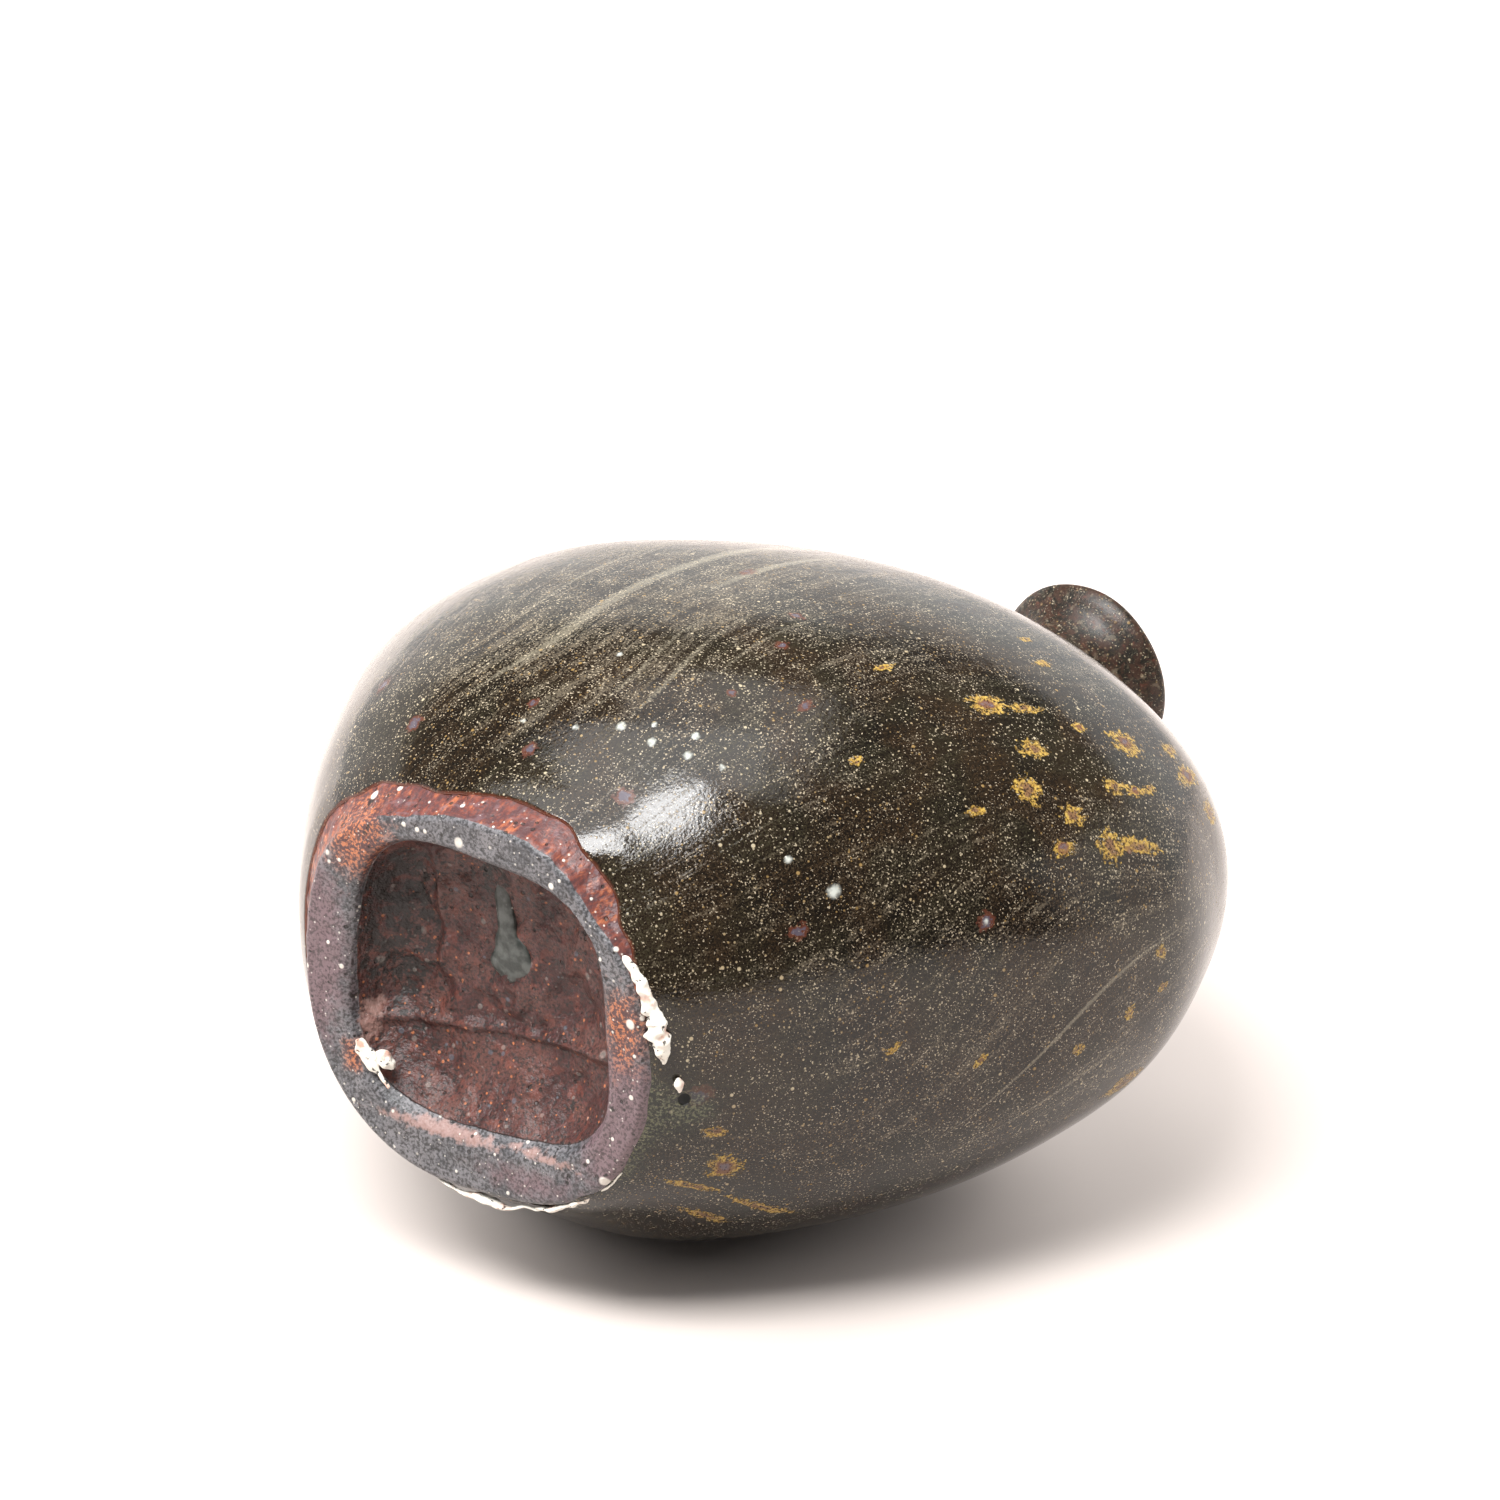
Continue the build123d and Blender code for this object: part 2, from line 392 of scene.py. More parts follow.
RUST_MARKS = (
    Mark(-73.8, 44.6, 3.2, 2.0), Mark(-78.3, 53.3, 2.0, 3.2), Mark(-61.7, 36.2, 3.4, 2.0),
    Mark(-65.3, 11.4, 3.2, 3.2), Mark(-69.2, 31.0, 2.2, 1.6), Mark(-88.8, 11.8, 3.2, 2.2),
    Mark(-118.8, 13.6, 3.2, 3.0), Mark(-94.2, 17.6, 2.2, 1.8), Mark(-25.0, 17.4, 3.2, 2.6),
    Mark(-92.2, 63.2, 4.4, 2.2), Mark(-132.0, 22.6, 3.2, 2.8), Mark(9.0, 5.4, 4.6, 3.4),
    Mark(-18.8, 38.2, 3.2, 2.8), Mark(140.0, 58.0, 4.0, 3.0), Mark(168.0, 36.0, 3.2, 2.4),
    Mark(-39.5, 76.5, 2.4, 2.0), Mark(-52.7, 59.0, 3.4, 2.0), Mark(-44.5, 69.8, 1.6, 1.3),
    Mark(-27.5, 52.5, 2.4, 1.9), Mark(-28.7, 87.4, 3.6, 2.2), Mark(30.0, 10.5, 3.4, 2.8),
    Mark(-32.2, 70.4, 1.8, 1.4), Mark(-23.7, 63.0, 2.0, 1.3),
)
BEAD_MARKS = (
    Mark(-65.5, 22.2, 1.7, 1.7), Mark(-76.2, 18.4, 2.0, 1.7), Mark(-69.7, 18.4, 1.7, 1.6),
    Mark(-63.3, 19.5, 1.8, 1.6), Mark(-38.0, 19.8, 1.6, 1.4), Mark(-30.0, 22.6, 2.5, 2.2),
    Mark(-18.8, 38.2, 1.2, 1.2), Mark(-88.0, 29.5, 1.5, 1.2), Mark(-83.3, 16.1, 1.4, 1.2),
    Mark(-58.0, 21.0, 1.3, 1.2), Mark(-72.0, 20.6, 1.3, 1.2), Mark(-94.0, 15.0, 1.2, 1.1),
)


@dataclass(frozen=True)
class Sweep:
    """One stroke of the glaze's run: how far it leans, in degrees of bearing per millimetre of height."""

    bearing: float
    height: float
    reach: float
    rise: float
    lean: float


SWEEPS = (
    Sweep(-108.0, 13.0, 18.0, 9.0, 1.1),
    Sweep(-116.0, 24.0, 12.0, 8.0, 0.4),
    Sweep(-72.0, 30.0, 14.0, 10.0, -0.35),
    Sweep(-45.0, 68.0, 16.0, 12.0, 0.5),
    Sweep(-22.0, 68.0, 10.0, 12.0, 0.38),
    Sweep(-26.0, 30.0, 9.0, 10.0, -0.38),
    Sweep(-4.0, 36.0, 14.0, 12.0, -1.25),
    Sweep(18.0, 32.0, 12.0, 10.0, -1.25),
    Sweep(8.0, 58.0, 12.0, 12.0, -0.5),
    Sweep(38.0, 28.0, 9.0, 20.0, 0.4),
    Sweep(80.0, 40.0, 22.0, 24.0, 0.6),
    Sweep(128.0, 55.0, 22.0, 22.0, -0.6),
    Sweep(165.0, 30.0, 20.0, 20.0, 0.5),
)


@dataclass(frozen=True)
class GlazeRun:
    """Direction in which the glaze was combed and ran, and the traits that follow it."""

    shape: PotShape
    level: float = 46.0
    steps: int = 36
    stretch: float = 34.0
    round_trip: float = 42.0

    def lean(self, bearing: Array, height: Array) -> Array:
        """Lean of the run: a sum of bell-shaped strokes over bearing and height."""
        total = np.zeros(np.broadcast(bearing, height).shape)
        for stroke in SWEEPS:
            off = turn_between(bearing, stroke.bearing) / stroke.reach
            up = (height - stroke.height) / stroke.rise
            total += stroke.lean * np.exp(-0.5 * (off**2 + up**2))
        return total

    def combed(self, bearing: Array, height: Array) -> Array:
        """Coordinates that stay the same along a streak.

        Each point is followed along the lean to one level height; the bearing reached there, wrapped round
        a cylinder, gives two coordinates and the height, shortened, gives the third.
        """
        here = np.array(np.broadcast_to(bearing, np.broadcast(bearing, height).shape), float)
        step = (self.level - height) / self.steps
        for index in range(self.steps):
            here = here + step * self.lean(here, height + (index + 0.5) * step)
        angle = np.radians(here)
        return np.stack([
            self.round_trip * np.cos(angle),
            self.round_trip * np.sin(angle),
            height / self.stretch,
        ], axis=-1)

    def marks(self, points: Array, marks: tuple[Mark, ...]) -> Array:
        """Nearness to the closest mark: 1 at its middle, 0 at its rim and falling to -1 outside."""
        nearest = np.full(points.shape[:-1], -1.0)
        for mark in marks:
            bearing, height = np.array([mark.bearing]), np.array([mark.height])
            centre = self.shape.surface(bearing, height)[0]
            lean = self.lean(bearing, height)
            ahead = self.shape.surface(bearing + lean, height + 1.0)[0] - centre
            along = ahead / np.linalg.norm(ahead)
            across = np.cross(self.shape.normal(bearing, height)[0], along)
            away = points - centre
            far = np.hypot(away @ along / (mark.length / 2), away @ across / (mark.width / 2))
            deep = np.abs(away @ np.cross(along, across))
            nearest = np.maximum(nearest, np.where(deep < 6.0, 1.0 - far, -1.0))
        return nearest


# ------------------------------------------------------------------------------------ shader writing


class Signal:
    """One shader socket that does arithmetic, so that shader maths reads as an expression."""

    def __init__(self, writer: "ShaderWriter", socket: bpy.types.NodeSocket) -> None:
        """Keeps the socket and the writer that owns its node tree."""
        self.writer = writer
        self.socket = socket

    def _math(self, operation: str, *operands: Any) -> "Signal":
        """Adds one Math node over the operands, each a signal or a number."""
        made = self.writer.node("ShaderNodeMath", {"operation": operation})
        for socket, value in zip(made.inputs, operands):
            self.writer.feed(socket, value)
        return Signal(self.writer, made.outputs[0])

    def __add__(self, other: Any) -> "Signal":
        """The sum of the two."""
        return self._math("ADD", self, other)

    __radd__ = __add__

    def __sub__(self, other: Any) -> "Signal":
        """This signal less the other."""
        return self._math("SUBTRACT", self, other)

    def __rsub__(self, other: Any) -> "Signal":
        """The other less this signal."""
        return self._math("SUBTRACT", other, self)

    def __mul__(self, other: Any) -> "Signal":
        """The product of the two."""
        return self._math("MULTIPLY", self, other)

    __rmul__ = __mul__

    def __truediv__(self, other: Any) -> "Signal":
        """This signal over the other."""
        return self._math("DIVIDE", self, other)

    def greater(self, other: Any) -> "Signal":
        """The larger of the two."""
        return self._math("MAXIMUM", self, other)

    def ramp(self, low: Any, high: Any) -> "Signal":
        """0 at low, 1 at high, a smooth S between; low may be above high to turn it round."""
        made = self.writer.node(
            "ShaderNodeMapRange",
            {"interpolation_type": "SMOOTHSTEP"},
            {"Value": self, "From Min": low, "From Max": high},
        )
        return Signal(self.writer, made.outputs[0])


class ShaderWriter:
    """Writes the nodes of one material or world."""

    def __init__(self, owner: bpy.types.Material | bpy.types.World) -> None:
        """Empties the owner's node tree, ready to be written."""
        self.owner = owner
        owner.use_nodes = True
        self.tree = owner.node_tree
        self.tree.nodes.clear()

    def node(
        self, kind: str, settings: dict[str, Any] | None = None, inputs: dict[str, Any] | None = None
    ) -> bpy.types.Node:
        """Adds a node, sets its properties, then its sockets."""
        made = self.tree.nodes.new(kind)
        for name, value in (settings or {}).items():
            setattr(made, name, value)
        for name, value in (inputs or {}).items():
            self.feed(made.inputs[name], value)
        return made

    def feed(self, socket: bpy.types.NodeSocket, value: Any) -> None:
        """Links a signal to a socket, or sets a constant on it."""
        if isinstance(value, Signal):
            self.tree.links.new(value.socket, socket)
        elif isinstance(value, tuple) and socket.type == "RGBA" and len(value) == 3:
            socket.default_value = (*value, 1.0)
        else:
            socket.default_value = value

    def place(self) -> Signal:
        """The point being shaded, in millimetres."""
        coords = self.node("ShaderNodeTexCoord")
        return self.scaled(Signal(self, coords.outputs["Object"]), 1.0 / MM)

    def scaled(self, vector: Signal, factor: float | tuple[float, float, float]) -> Signal:
        """A vector multiplied by a number, or axis by axis."""
        by = factor if isinstance(factor, tuple) else (factor,) * 3
        made = self.node("ShaderNodeVectorMath", {"operation": "MULTIPLY"})
        self.feed(made.inputs[0], vector)
        self.feed(made.inputs[1], by)
        return Signal(self, made.outputs[0])

    def along(self, vector: Signal, way: tuple[float, float, float]) -> Signal:
        """How far a vector reaches in one direction."""
        made = self.node("ShaderNodeVectorMath", {"operation": "DOT_PRODUCT"})
        self.feed(made.inputs[0], vector)
        self.feed(made.inputs[1], way)
        return Signal(self, made.outputs["Value"])

    def distance(self, vector: Signal, point: tuple[float, float, float]) -> Signal:
        """Distance from the shaded point to a fixed one."""
        made = self.node("ShaderNodeVectorMath", {"operation": "DISTANCE"})
        self.feed(made.inputs[0], vector)
        self.feed(made.inputs[1], point)
        return Signal(self, made.outputs["Value"])

    def trait(self, trait: Trait, vector: bool = False) -> Signal:
        """A value that the mesh carries."""
        made = self.node("ShaderNodeAttribute", {"attribute_name": trait.value})
        return Signal(self, made.outputs["Vector" if vector else "Fac"])

    def noise(self, vector: Signal, size: float, detail: float = 2.0, rough: float = 0.5) -> Signal:
        """Smooth random values, about 0.5 in the middle, with features of the given size."""
        made = self.node(
            "ShaderNodeTexNoise",
            {"noise_dimensions": "3D"},
            {"Vector": vector, "Scale": 1.0 / size, "Detail": detail, "Roughness": rough},
        )
        return Signal(self, made.outputs["Fac"])

    def specks(self, vector: Signal, size: float, radius: float, share: float) -> Signal:
        """Round specks: one in each random cell of the given size, kept for that share of the cells."""
        made = self.node(
            "ShaderNodeTexVoronoi",
            {"feature": "F1", "distance": "EUCLIDEAN"},
            {"Vector": vector, "Scale": 1.0 / size},
        )
        cell = Signal(self, made.outputs["Color"])
        spread = self.node("ShaderNodeSeparateColor", {"mode": "RGB"}, {"Color": cell})
        kept = Signal(self, spread.outputs[0]).ramp(1.0 - share + 0.01, 1.0 - share - 0.01)
        grown = radius / size * (0.6 + 0.8 * Signal(self, spread.outputs[1]))
        near = Signal(self, made.outputs["Distance"]) / grown
        return near.ramp(1.0, 0.6) * (1.0 - kept)

    def mix(self, factor: Any, first: Any, second: Any) -> Signal:
        """Colour between first, at 0, and second, at 1."""
        made = self.node("ShaderNodeMix", {"data_type": "RGBA", "clamp_factor": True})
        self.feed(made.inputs[0], factor)
        self.feed(made.inputs[6], first)
        self.feed(made.inputs[7], second)
        return Signal(self, made.outputs[2])

    def relief(self, height: Signal, strength: float = 1.0) -> Signal:
        """Normal bent by a height given in millimetres."""
        made = self.node("ShaderNodeBump", {}, {"Height": height, "Distance": MM, "Strength": strength})
        return Signal(self, made.outputs[0])

    def finish(self, **inputs: Any) -> bpy.types.Material:
        """Ends the material in one surface shader; names use underscores for spaces."""
        surface = self.node("ShaderNodeBsdfPrincipled")
        for name, value in inputs.items():
            self.feed(surface.inputs[name.replace("_", " ")], value)
        output = self.node("ShaderNodeOutputMaterial")
        self.tree.links.new(surface.outputs[0], output.inputs["Surface"])
        return self.owner


# ------------------------------------------------------------------------------------ finishes


@dataclass(frozen=True)
class IronGlaze:
    """Glossy black-brown iron glaze, combed with pale streaks, peppered with specks and ochre marks."""

    black: Colour = (0.005, 0.004, 0.003)
    brown: Colour = (0.015, 0.010, 0.006)
    dust: Colour = (0.092, 0.074, 0.051)
    grit: Colour = (0.400, 0.335, 0.240)
    ribbon: Colour = (0.170, 0.148, 0.108)
    cream: Colour = (0.400, 0.335, 0.225)
    gold: Colour = (0.230, 0.145, 0.052)
    pit: Colour = (0.003, 0.002, 0.0015)
    bark: Colour = (0.040, 0.018, 0.011)
    oat: Colour = (0.170, 0.135, 0.090)
    umber: Colour = (0.030, 0.018, 0.009)
    olive: Colour = (0.023, 0.020, 0.011)
    ochre: Colour = (0.235, 0.130, 0.016)
    straw: Colour = (0.400, 0.270, 0.050)
    tan: Colour = (0.105, 0.045, 0.026)
    rust: Colour = (0.092, 0.028, 0.016)
    plum: Colour = (0.085, 0.072, 0.095)
    pearl: Colour = (0.560, 0.580, 0.530)
    thin: Colour = (0.100, 0.026, 0.014)
    moss: Colour = (0.014, 0.017, 0.013)
    lichen: Colour = (0.120, 0.122, 0.070)
    polish: float = 0.11

    def build(self, pinhole: tuple[float, float, float]) -> bpy.types.Material:
        """Writes the material.

        Args:
            pinhole: Centre of the burst bubble beside the foot, in millimetres; its pit is painted near-black
                as shade.
        """
        w = ShaderWriter(bpy.data.materials.new("iron_glaze_finish"))
        place = w.place()
        combed = w.trait(Trait.COMBED, vector=True)
        streaky = w.trait(Trait.STREAKY)

        pools = w.noise(place, 17.0, 3.0, 0.6)
        colour = w.mix(pools.ramp(0.36, 0.66), self.black, self.brown)

        hair = w.noise(w.scaled(combed, (1.0, 1.0, 1.5)), 0.55, 2.0, 0.6)
        lock = w.noise(combed, 1.3, 2.0, 0.55)
        sheet = w.noise(combed, 6.0, 2.0, 0.5)
        grain = w.noise(place, 0.30, 2.0, 0.65)
        clump = w.noise(place, 4.0, 2.0, 0.6)
        brushed = hair * 0.62 + lock * 0.48 + sheet * 0.22 + clump * 0.42 + grain * 1.0 + streaky * 0.24
        hairs = brushed.ramp(1.38, 1.76)
        warm = w.noise(place, 9.0, 1.0).ramp(0.42, 0.60)
        ground = w.mix(warm, self.umber, self.olive)
        colour = w.mix((grain + hair * 0.4).ramp(0.58, 0.88) * 0.75, colour, ground)
        colour = w.mix(grain.ramp(0.46, 0.30) * 0.8, colour, self.pit)
        colour = w.mix(hairs * 0.9, colour, self.dust)
        strand = w.noise(w.scaled(combed, (1.0, 1.0, 0.8)), 1.9, 1.0)
        ribbon = (strand + grain * 0.30 + streaky * 0.20).ramp(0.84, 0.97)
        colour = w.mix(ribbon * 0.7, colour, self.ribbon)

        crumb = w.noise(place, 0.27, 1.0) + clump * 0.20 + streaky * 0.04
        colour = w.mix(crumb.ramp(0.73, 0.83) * 0.75, colour, self.grit)
        fine = w.specks(place, 0.60, 0.15, 0.34)
        coarse = w.specks(place, 1.7, 0.24, 0.40)
        speck_colour = w.mix(warm, self.gold, self.cream)
        colour = w.mix((fine * 0.65).greater(coarse * 0.8), colour, speck_colour)

        dry = w.trait(Trait.DRY)
        mottle = w.noise(place, 1.3, 3.0, 0.6)
        colour = w.mix(dry * mottle.ramp(0.44, 0.60) * 0.7, colour, self.bark)
        colour = w.mix(dry * w.noise(place, 1.1, 2.0).ramp(0.58, 0.72) * 0.35, colour, self.oat)

        tear = w.noise(place, 0.9, 3.0, 0.65) - 0.5
        fray = w.noise(combed, 0.7, 2.0) - 0.5
        ochre = w.trait(Trait.OCHRE) + tear * 2.2 + fray * 0.9
        crumbs = w.noise(place, 0.38, 2.0, 0.6)
        spotted = ochre.ramp(0.02, 0.30) * crumbs.ramp(0.34, 0.52)
        patch = w.mix(crumbs.ramp(0.48, 0.64), self.ochre, self.straw)
        patch = w.mix((w.trait(Trait.OCHRE) + tear * 1.4).ramp(0.45, 0.70) * 0.85, patch, self.tan)
        colour = w.mix(spotted * 0.92, colour, patch)

        rust = (w.trait(Trait.RUST) + tear * 1.8).ramp(0.02, 0.35)
        heart = (w.trait(Trait.RUST) + tear * 1.2).ramp(0.40, 0.60)
        colour = w.mix(rust * 0.7, colour, w.mix(heart, self.rust, self.plum))

        bead = (w.trait(Trait.BEADS) + tear * 0.6).ramp(0.0, 0.70)
        colour = w.mix(bead * 0.7, colour, self.pearl)

        pool = (w.trait(Trait.POOL) + tear * 0.9).ramp(0.20, 0.80)
        mossy = w.mix((crumbs + w.trait(Trait.POOL) * 0.25).ramp(0.64, 0.82), self.moss, self.lichen)
        colour = w.mix(pool * 0.75, colour, mossy)

        edge = w.trait(Trait.EDGE)
        colour = w.mix((edge + tear * 0.5).ramp(0.60, 1.0) * 0.85, colour, self.thin)

        # Burst bubble: a bump hollow and duller glaze, with a near-black colour that is painted shade inside
        # the pit.
        hole_and_shade = w.distance(place, pinhole).ramp(0.95, 0.75)
        colour = w.mix(hole_and_shade, colour, (0.002, 0.002, 0.002))

        skin = w.noise(place, 2.6, 2.0) * 0.045 + w.noise(place, 0.42, 2.0) * 0.022
        relief = skin + hairs * 0.016 + (fine + coarse) * 0.012 + spotted * 0.03 + bead * 0.10 - hole_and_shade * 0.8
        dull = self.polish + hairs * 0.06 + fine * 0.08 + spotted * 0.22
        dull = dull + rust * 0.10 + hole_and_shade * 0.6 + dry * 0.3
        return w.finish(
            Base_Color=colour,
            Roughness=dull,
            Normal=w.relief(relief),
            IOR=1.44,
        )


@dataclass(frozen=True)
class BareClay:
    """Iron-rich stoneware burnt bare: slate ring, red-brown side, oxblood recess and orange flashing."""

    red: Colour = (0.150, 0.038, 0.024)
    liver: Colour = (0.062, 0.024, 0.024)
    orange: Colour = (0.400, 0.130, 0.048)
    slate: Colour = (0.052, 0.053, 0.058)
    ash: Colour = (0.140, 0.134, 0.141)
    heather: Colour = (0.128, 0.078, 0.087)
    oxblood: Colour = (0.036, 0.0095, 0.008)
    umber: Colour = (0.082, 0.031, 0.024)
    steel: Colour = (0.075, 0.085, 0.105)
    # Near-black for dark grains and pits, and for the painted shade on the recess's left and top walls.
    soot_and_shade: Colour = (0.012, 0.010, 0.009)
    grit: Colour = (0.600, 0.560, 0.500)
    pink: Colour = (0.340, 0.200, 0.170)

    def build(self) -> bpy.types.Material:
        """Writes the material."""
        w = ShaderWriter(bpy.data.materials.new("bare_clay_finish"))
        place = w.place()
        ragged = w.noise(place, 1.6, 3.0, 0.6) - 0.5
        broad = w.noise(place, 6.5, 3.0, 0.6)
        grain = w.noise(place, 0.42, 2.0, 0.6)
        run = w.noise(w.scaled(place, (1.0, 1.0, 0.16)), 0.9, 3.0, 0.6)

        side = w.mix((run + grain * 0.5).ramp(0.60, 0.94), self.liver, self.red)
        side = w.mix((run + broad * 0.6).ramp(0.86, 1.0) * 0.5, side, self.orange)
        side = w.mix(w.noise(place, 1.7, 2.0).ramp(0.58, 0.68) * 0.5, side, self.heather)

        purple = (w.trait(Trait.HEATHER) + ragged * 0.7).ramp(0.25, 0.70)
        ring = w.mix((broad * 0.5 + grain * 0.6).ramp(0.45, 0.68), self.slate, self.ash)
        ring = w.mix(purple * 0.85, ring, self.heather)
        ring = w.mix(grain.ramp(0.54, 0.36) * 0.65, ring, self.soot_and_shade)

        well = w.mix((broad + grain * 0.4).ramp(0.58, 0.84), self.oxblood, self.umber)
        well = w.mix(w.noise(place, 1.1, 3.0, 0.7).ramp(0.50, 0.66) * 0.7, well, self.liver)
        well = w.mix(grain.ramp(0.54, 0.34) * 0.85, well, self.soot_and_shade)
        well = w.mix(w.noise(place, 1.9, 2.0).ramp(0.56, 0.66) * 0.35, well, self.red)
        well = w.mix(w.specks(place, 0.95, 0.22, 0.34) * 0.7, well, self.orange)
        well = w.mix(w.specks(w.scaled(place, 1.07), 2.1, 0.42, 0.30) * 0.6, well, self.steel)

        in_ring = (w.trait(Trait.RING) + ragged * 0.5).ramp(0.42, 0.58)
        in_well = (w.trait(Trait.RECESS) + ragged * 0.35).ramp(0.42, 0.58)
        colour = w.mix(in_ring, side, ring)
        colour = w.mix(in_well, colour, well)

        flash = (w.trait(Trait.FLASH) + ragged * 0.9).ramp(0.25, 0.80)
        ember = w.mix((grain + run * 0.2).ramp(0.56, 0.74), self.liver, self.orange)
        colour = w.mix(flash * 0.92, colour, ember)

        # Black on the recess's left and top walls: partly a real stain, partly painted shade where those
        # walls lie in shade; flakes break it up.
        stain_and_shade = (w.trait(Trait.STAIN_AND_SHADE) + ragged * 2.4).ramp(0.34, 0.46)
        flakes = w.noise(place, 1.8, 3.0, 0.65).ramp(0.52, 0.56)
        colour = w.mix(stain_and_shade * (1.0 - flakes * 0.8) * 0.93, colour, self.soot_and_shade)

        rubbed = (w.trait(Trait.ABRADED) + ragged * 1.5 + grain * 0.3).ramp(0.60, 1.0)
        colour = w.mix(rubbed * 0.6, colour, self.pink)

        fine = w.specks(place, 0.75, 0.15, 0.32)
        coarse = w.specks(place, 2.1, 0.34, 0.40).greater(w.specks(w.scaled(place, 0.93), 4.2, 0.62, 0.40))
        outside = 1.0 - in_well * 0.85
        colour = w.mix((fine * 0.6).greater(coarse * 0.9) * outside, colour, self.grit)
        pits = w.specks(w.scaled(place, 1.02), 1.5, 0.30, 0.42)
        colour = w.mix(pits * 0.8, colour, self.soot_and_shade)

        relief = (
            grain * 0.09
            + w.noise(place, 1.3, 3.0, 0.6) * (0.16 + in_well * 0.30)
            + w.noise(place, 3.4, 2.0) * in_well * 0.45
            + coarse * 0.06
            - pits * 0.20
        )
        dull = 0.46 + in_well * 0.04 + fine * 0.1 + stain_and_shade * 0.05
        return w.finish(Base_Color=colour, Roughness=dull, Normal=w.relief(relief), IOR=1.5)


@dataclass(frozen=True)
class FiredClay:
    """Stoneware that lies under the glaze or inside the pot."""

    dark: Colour = (0.130, 0.062, 0.042)
    light: Colour = (0.260, 0.150, 0.100)

    def build(self) -> bpy.types.Material:
        """Writes the material."""
        w = ShaderWriter(bpy.data.materials.new("fired_clay_finish"))
        place = w.place()
        colour = w.mix(w.noise(place, 5.0, 4.0, 0.6).ramp(0.35, 0.65), self.dark, self.light)
        colour = w.mix(w.specks(place, 1.4, 0.25, 0.4) * 0.7, colour, (0.55, 0.48, 0.40))
        return w.finish(
            Base_Color=colour,
            Roughness=0.72,
            Normal=w.relief(w.noise(place, 0.8, 3.0) * 0.12),
        )


@dataclass(frozen=True)
class LinerGlaze:
    """Smooth dark brown glaze poured inside."""

    dark: Colour = (0.016, 0.010, 0.006)
    amber: Colour = (0.075, 0.038, 0.014)

    def build(self) -> bpy.types.Material:
        """Writes the material."""
        w = ShaderWriter(bpy.data.materials.new("liner_glaze_finish"))
        place = w.place()
        colour = w.mix(w.noise(place, 8.0, 3.0).ramp(0.40, 0.68), self.dark, self.amber)
        return w.finish(
            Base_Color=colour,
            Roughness=0.16 + w.noise(place, 3.0) * 0.08,
            Normal=w.relief(w.noise(place, 3.0, 2.0) * 0.06),
            IOR=1.52,
        )


@dataclass(frozen=True)
class KilnCrust:
    """Chalky setting clay, pale with black pores and a blush of iron."""

    chalk: Colour = (0.700, 0.665, 0.590)
    blush: Colour = (0.520, 0.300, 0.230)
    pore: Colour = (0.020, 0.016, 0.012)

    def build(self) -> bpy.types.Material:
        """Writes the material."""
        w = ShaderWriter(bpy.data.materials.new("kiln_crust_finish"))
        place = w.place()
        colour = w.mix(w.noise(place, 2.2, 3.0).ramp(0.52, 0.72), self.chalk, self.blush)
        pores = w.noise(place, 0.75, 2.0, 0.6).ramp(0.60, 0.68)
        colour = w.mix(pores * 0.9, colour, self.pore)
        relief = w.noise(place, 0.8, 3.0) * 0.25 - pores * 0.2
        return w.finish(Base_Color=colour, Roughness=0.78, Normal=w.relief(relief))


@dataclass(frozen=True)
class DripGlaze:
    """Thin grey-green glaze that dripped into the recess."""

    green: Colour = (0.018, 0.022, 0.019)
    grey: Colour = (0.062, 0.068, 0.062)

    def build(self) -> bpy.types.Material:
        """Writes the material."""
        w = ShaderWriter(bpy.data.materials.new("drip_glaze_finish"))
        place = w.place()
        colour = w.mix(w.noise(place, 1.6, 3.0).ramp(0.40, 0.62), self.green, self.grey)
        colour = w.mix(w.specks(place, 0.9, 0.14, 0.4) * 0.6, colour, (0.5, 0.5, 0.45))
        return w.finish(
            Base_Color=colour,
            Roughness=0.30 + w.noise(place, 1.2) * 0.2,
            Normal=w.relief(w.noise(place, 0.9, 2.0) * 0.12),
        )


@dataclass
class Finishes:
    """All finishes, built once and handed to the members."""

    shape: PotShape

    def __post_init__(self) -> None:
        """Builds the materials; the burst bubble sits on the glaze beside the foot."""
        burst = self.shape.surface(np.array([9.6]), np.array([4.0]))[0]
        self.materials = {
            Slot.GLAZE: IronGlaze().build(tuple(float(value) for value in burst)),
            Slot.CLAY: BareClay().build(),
            Slot.INNER_CLAY: FiredClay().build(),
            Slot.LINER: LinerGlaze().build(),
            Slot.CRUST: KilnCrust().build(),
            Slot.DRIP: DripGlaze().build(),
        }

    def dress(self, piece: bpy.types.Object, slot: Slot, *nodes: str) -> bpy.types.Object:
        """Gives a piece its finish and ties it to the frame.

        Args:
            piece: The finished mesh object.
            slot: The record's slot for its material.
            nodes: The CAD nodes that it stands for.
        """
        piece.data.materials.clear()
        piece.data.materials.append(self.materials[slot])
        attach(piece, ROOT)
        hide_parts(*nodes)
        log.info("%s: %d faces, stands for %s", piece.name, len(piece.data.polygons), ", ".join(nodes))
        return piece


# ------------------------------------------------------------------------------------ members


def bearings(count: int = BEARINGS) -> Array:
    """Bearings round the pot, in degrees."""
    return -180.0 + 360.0 * np.arange(count) / count


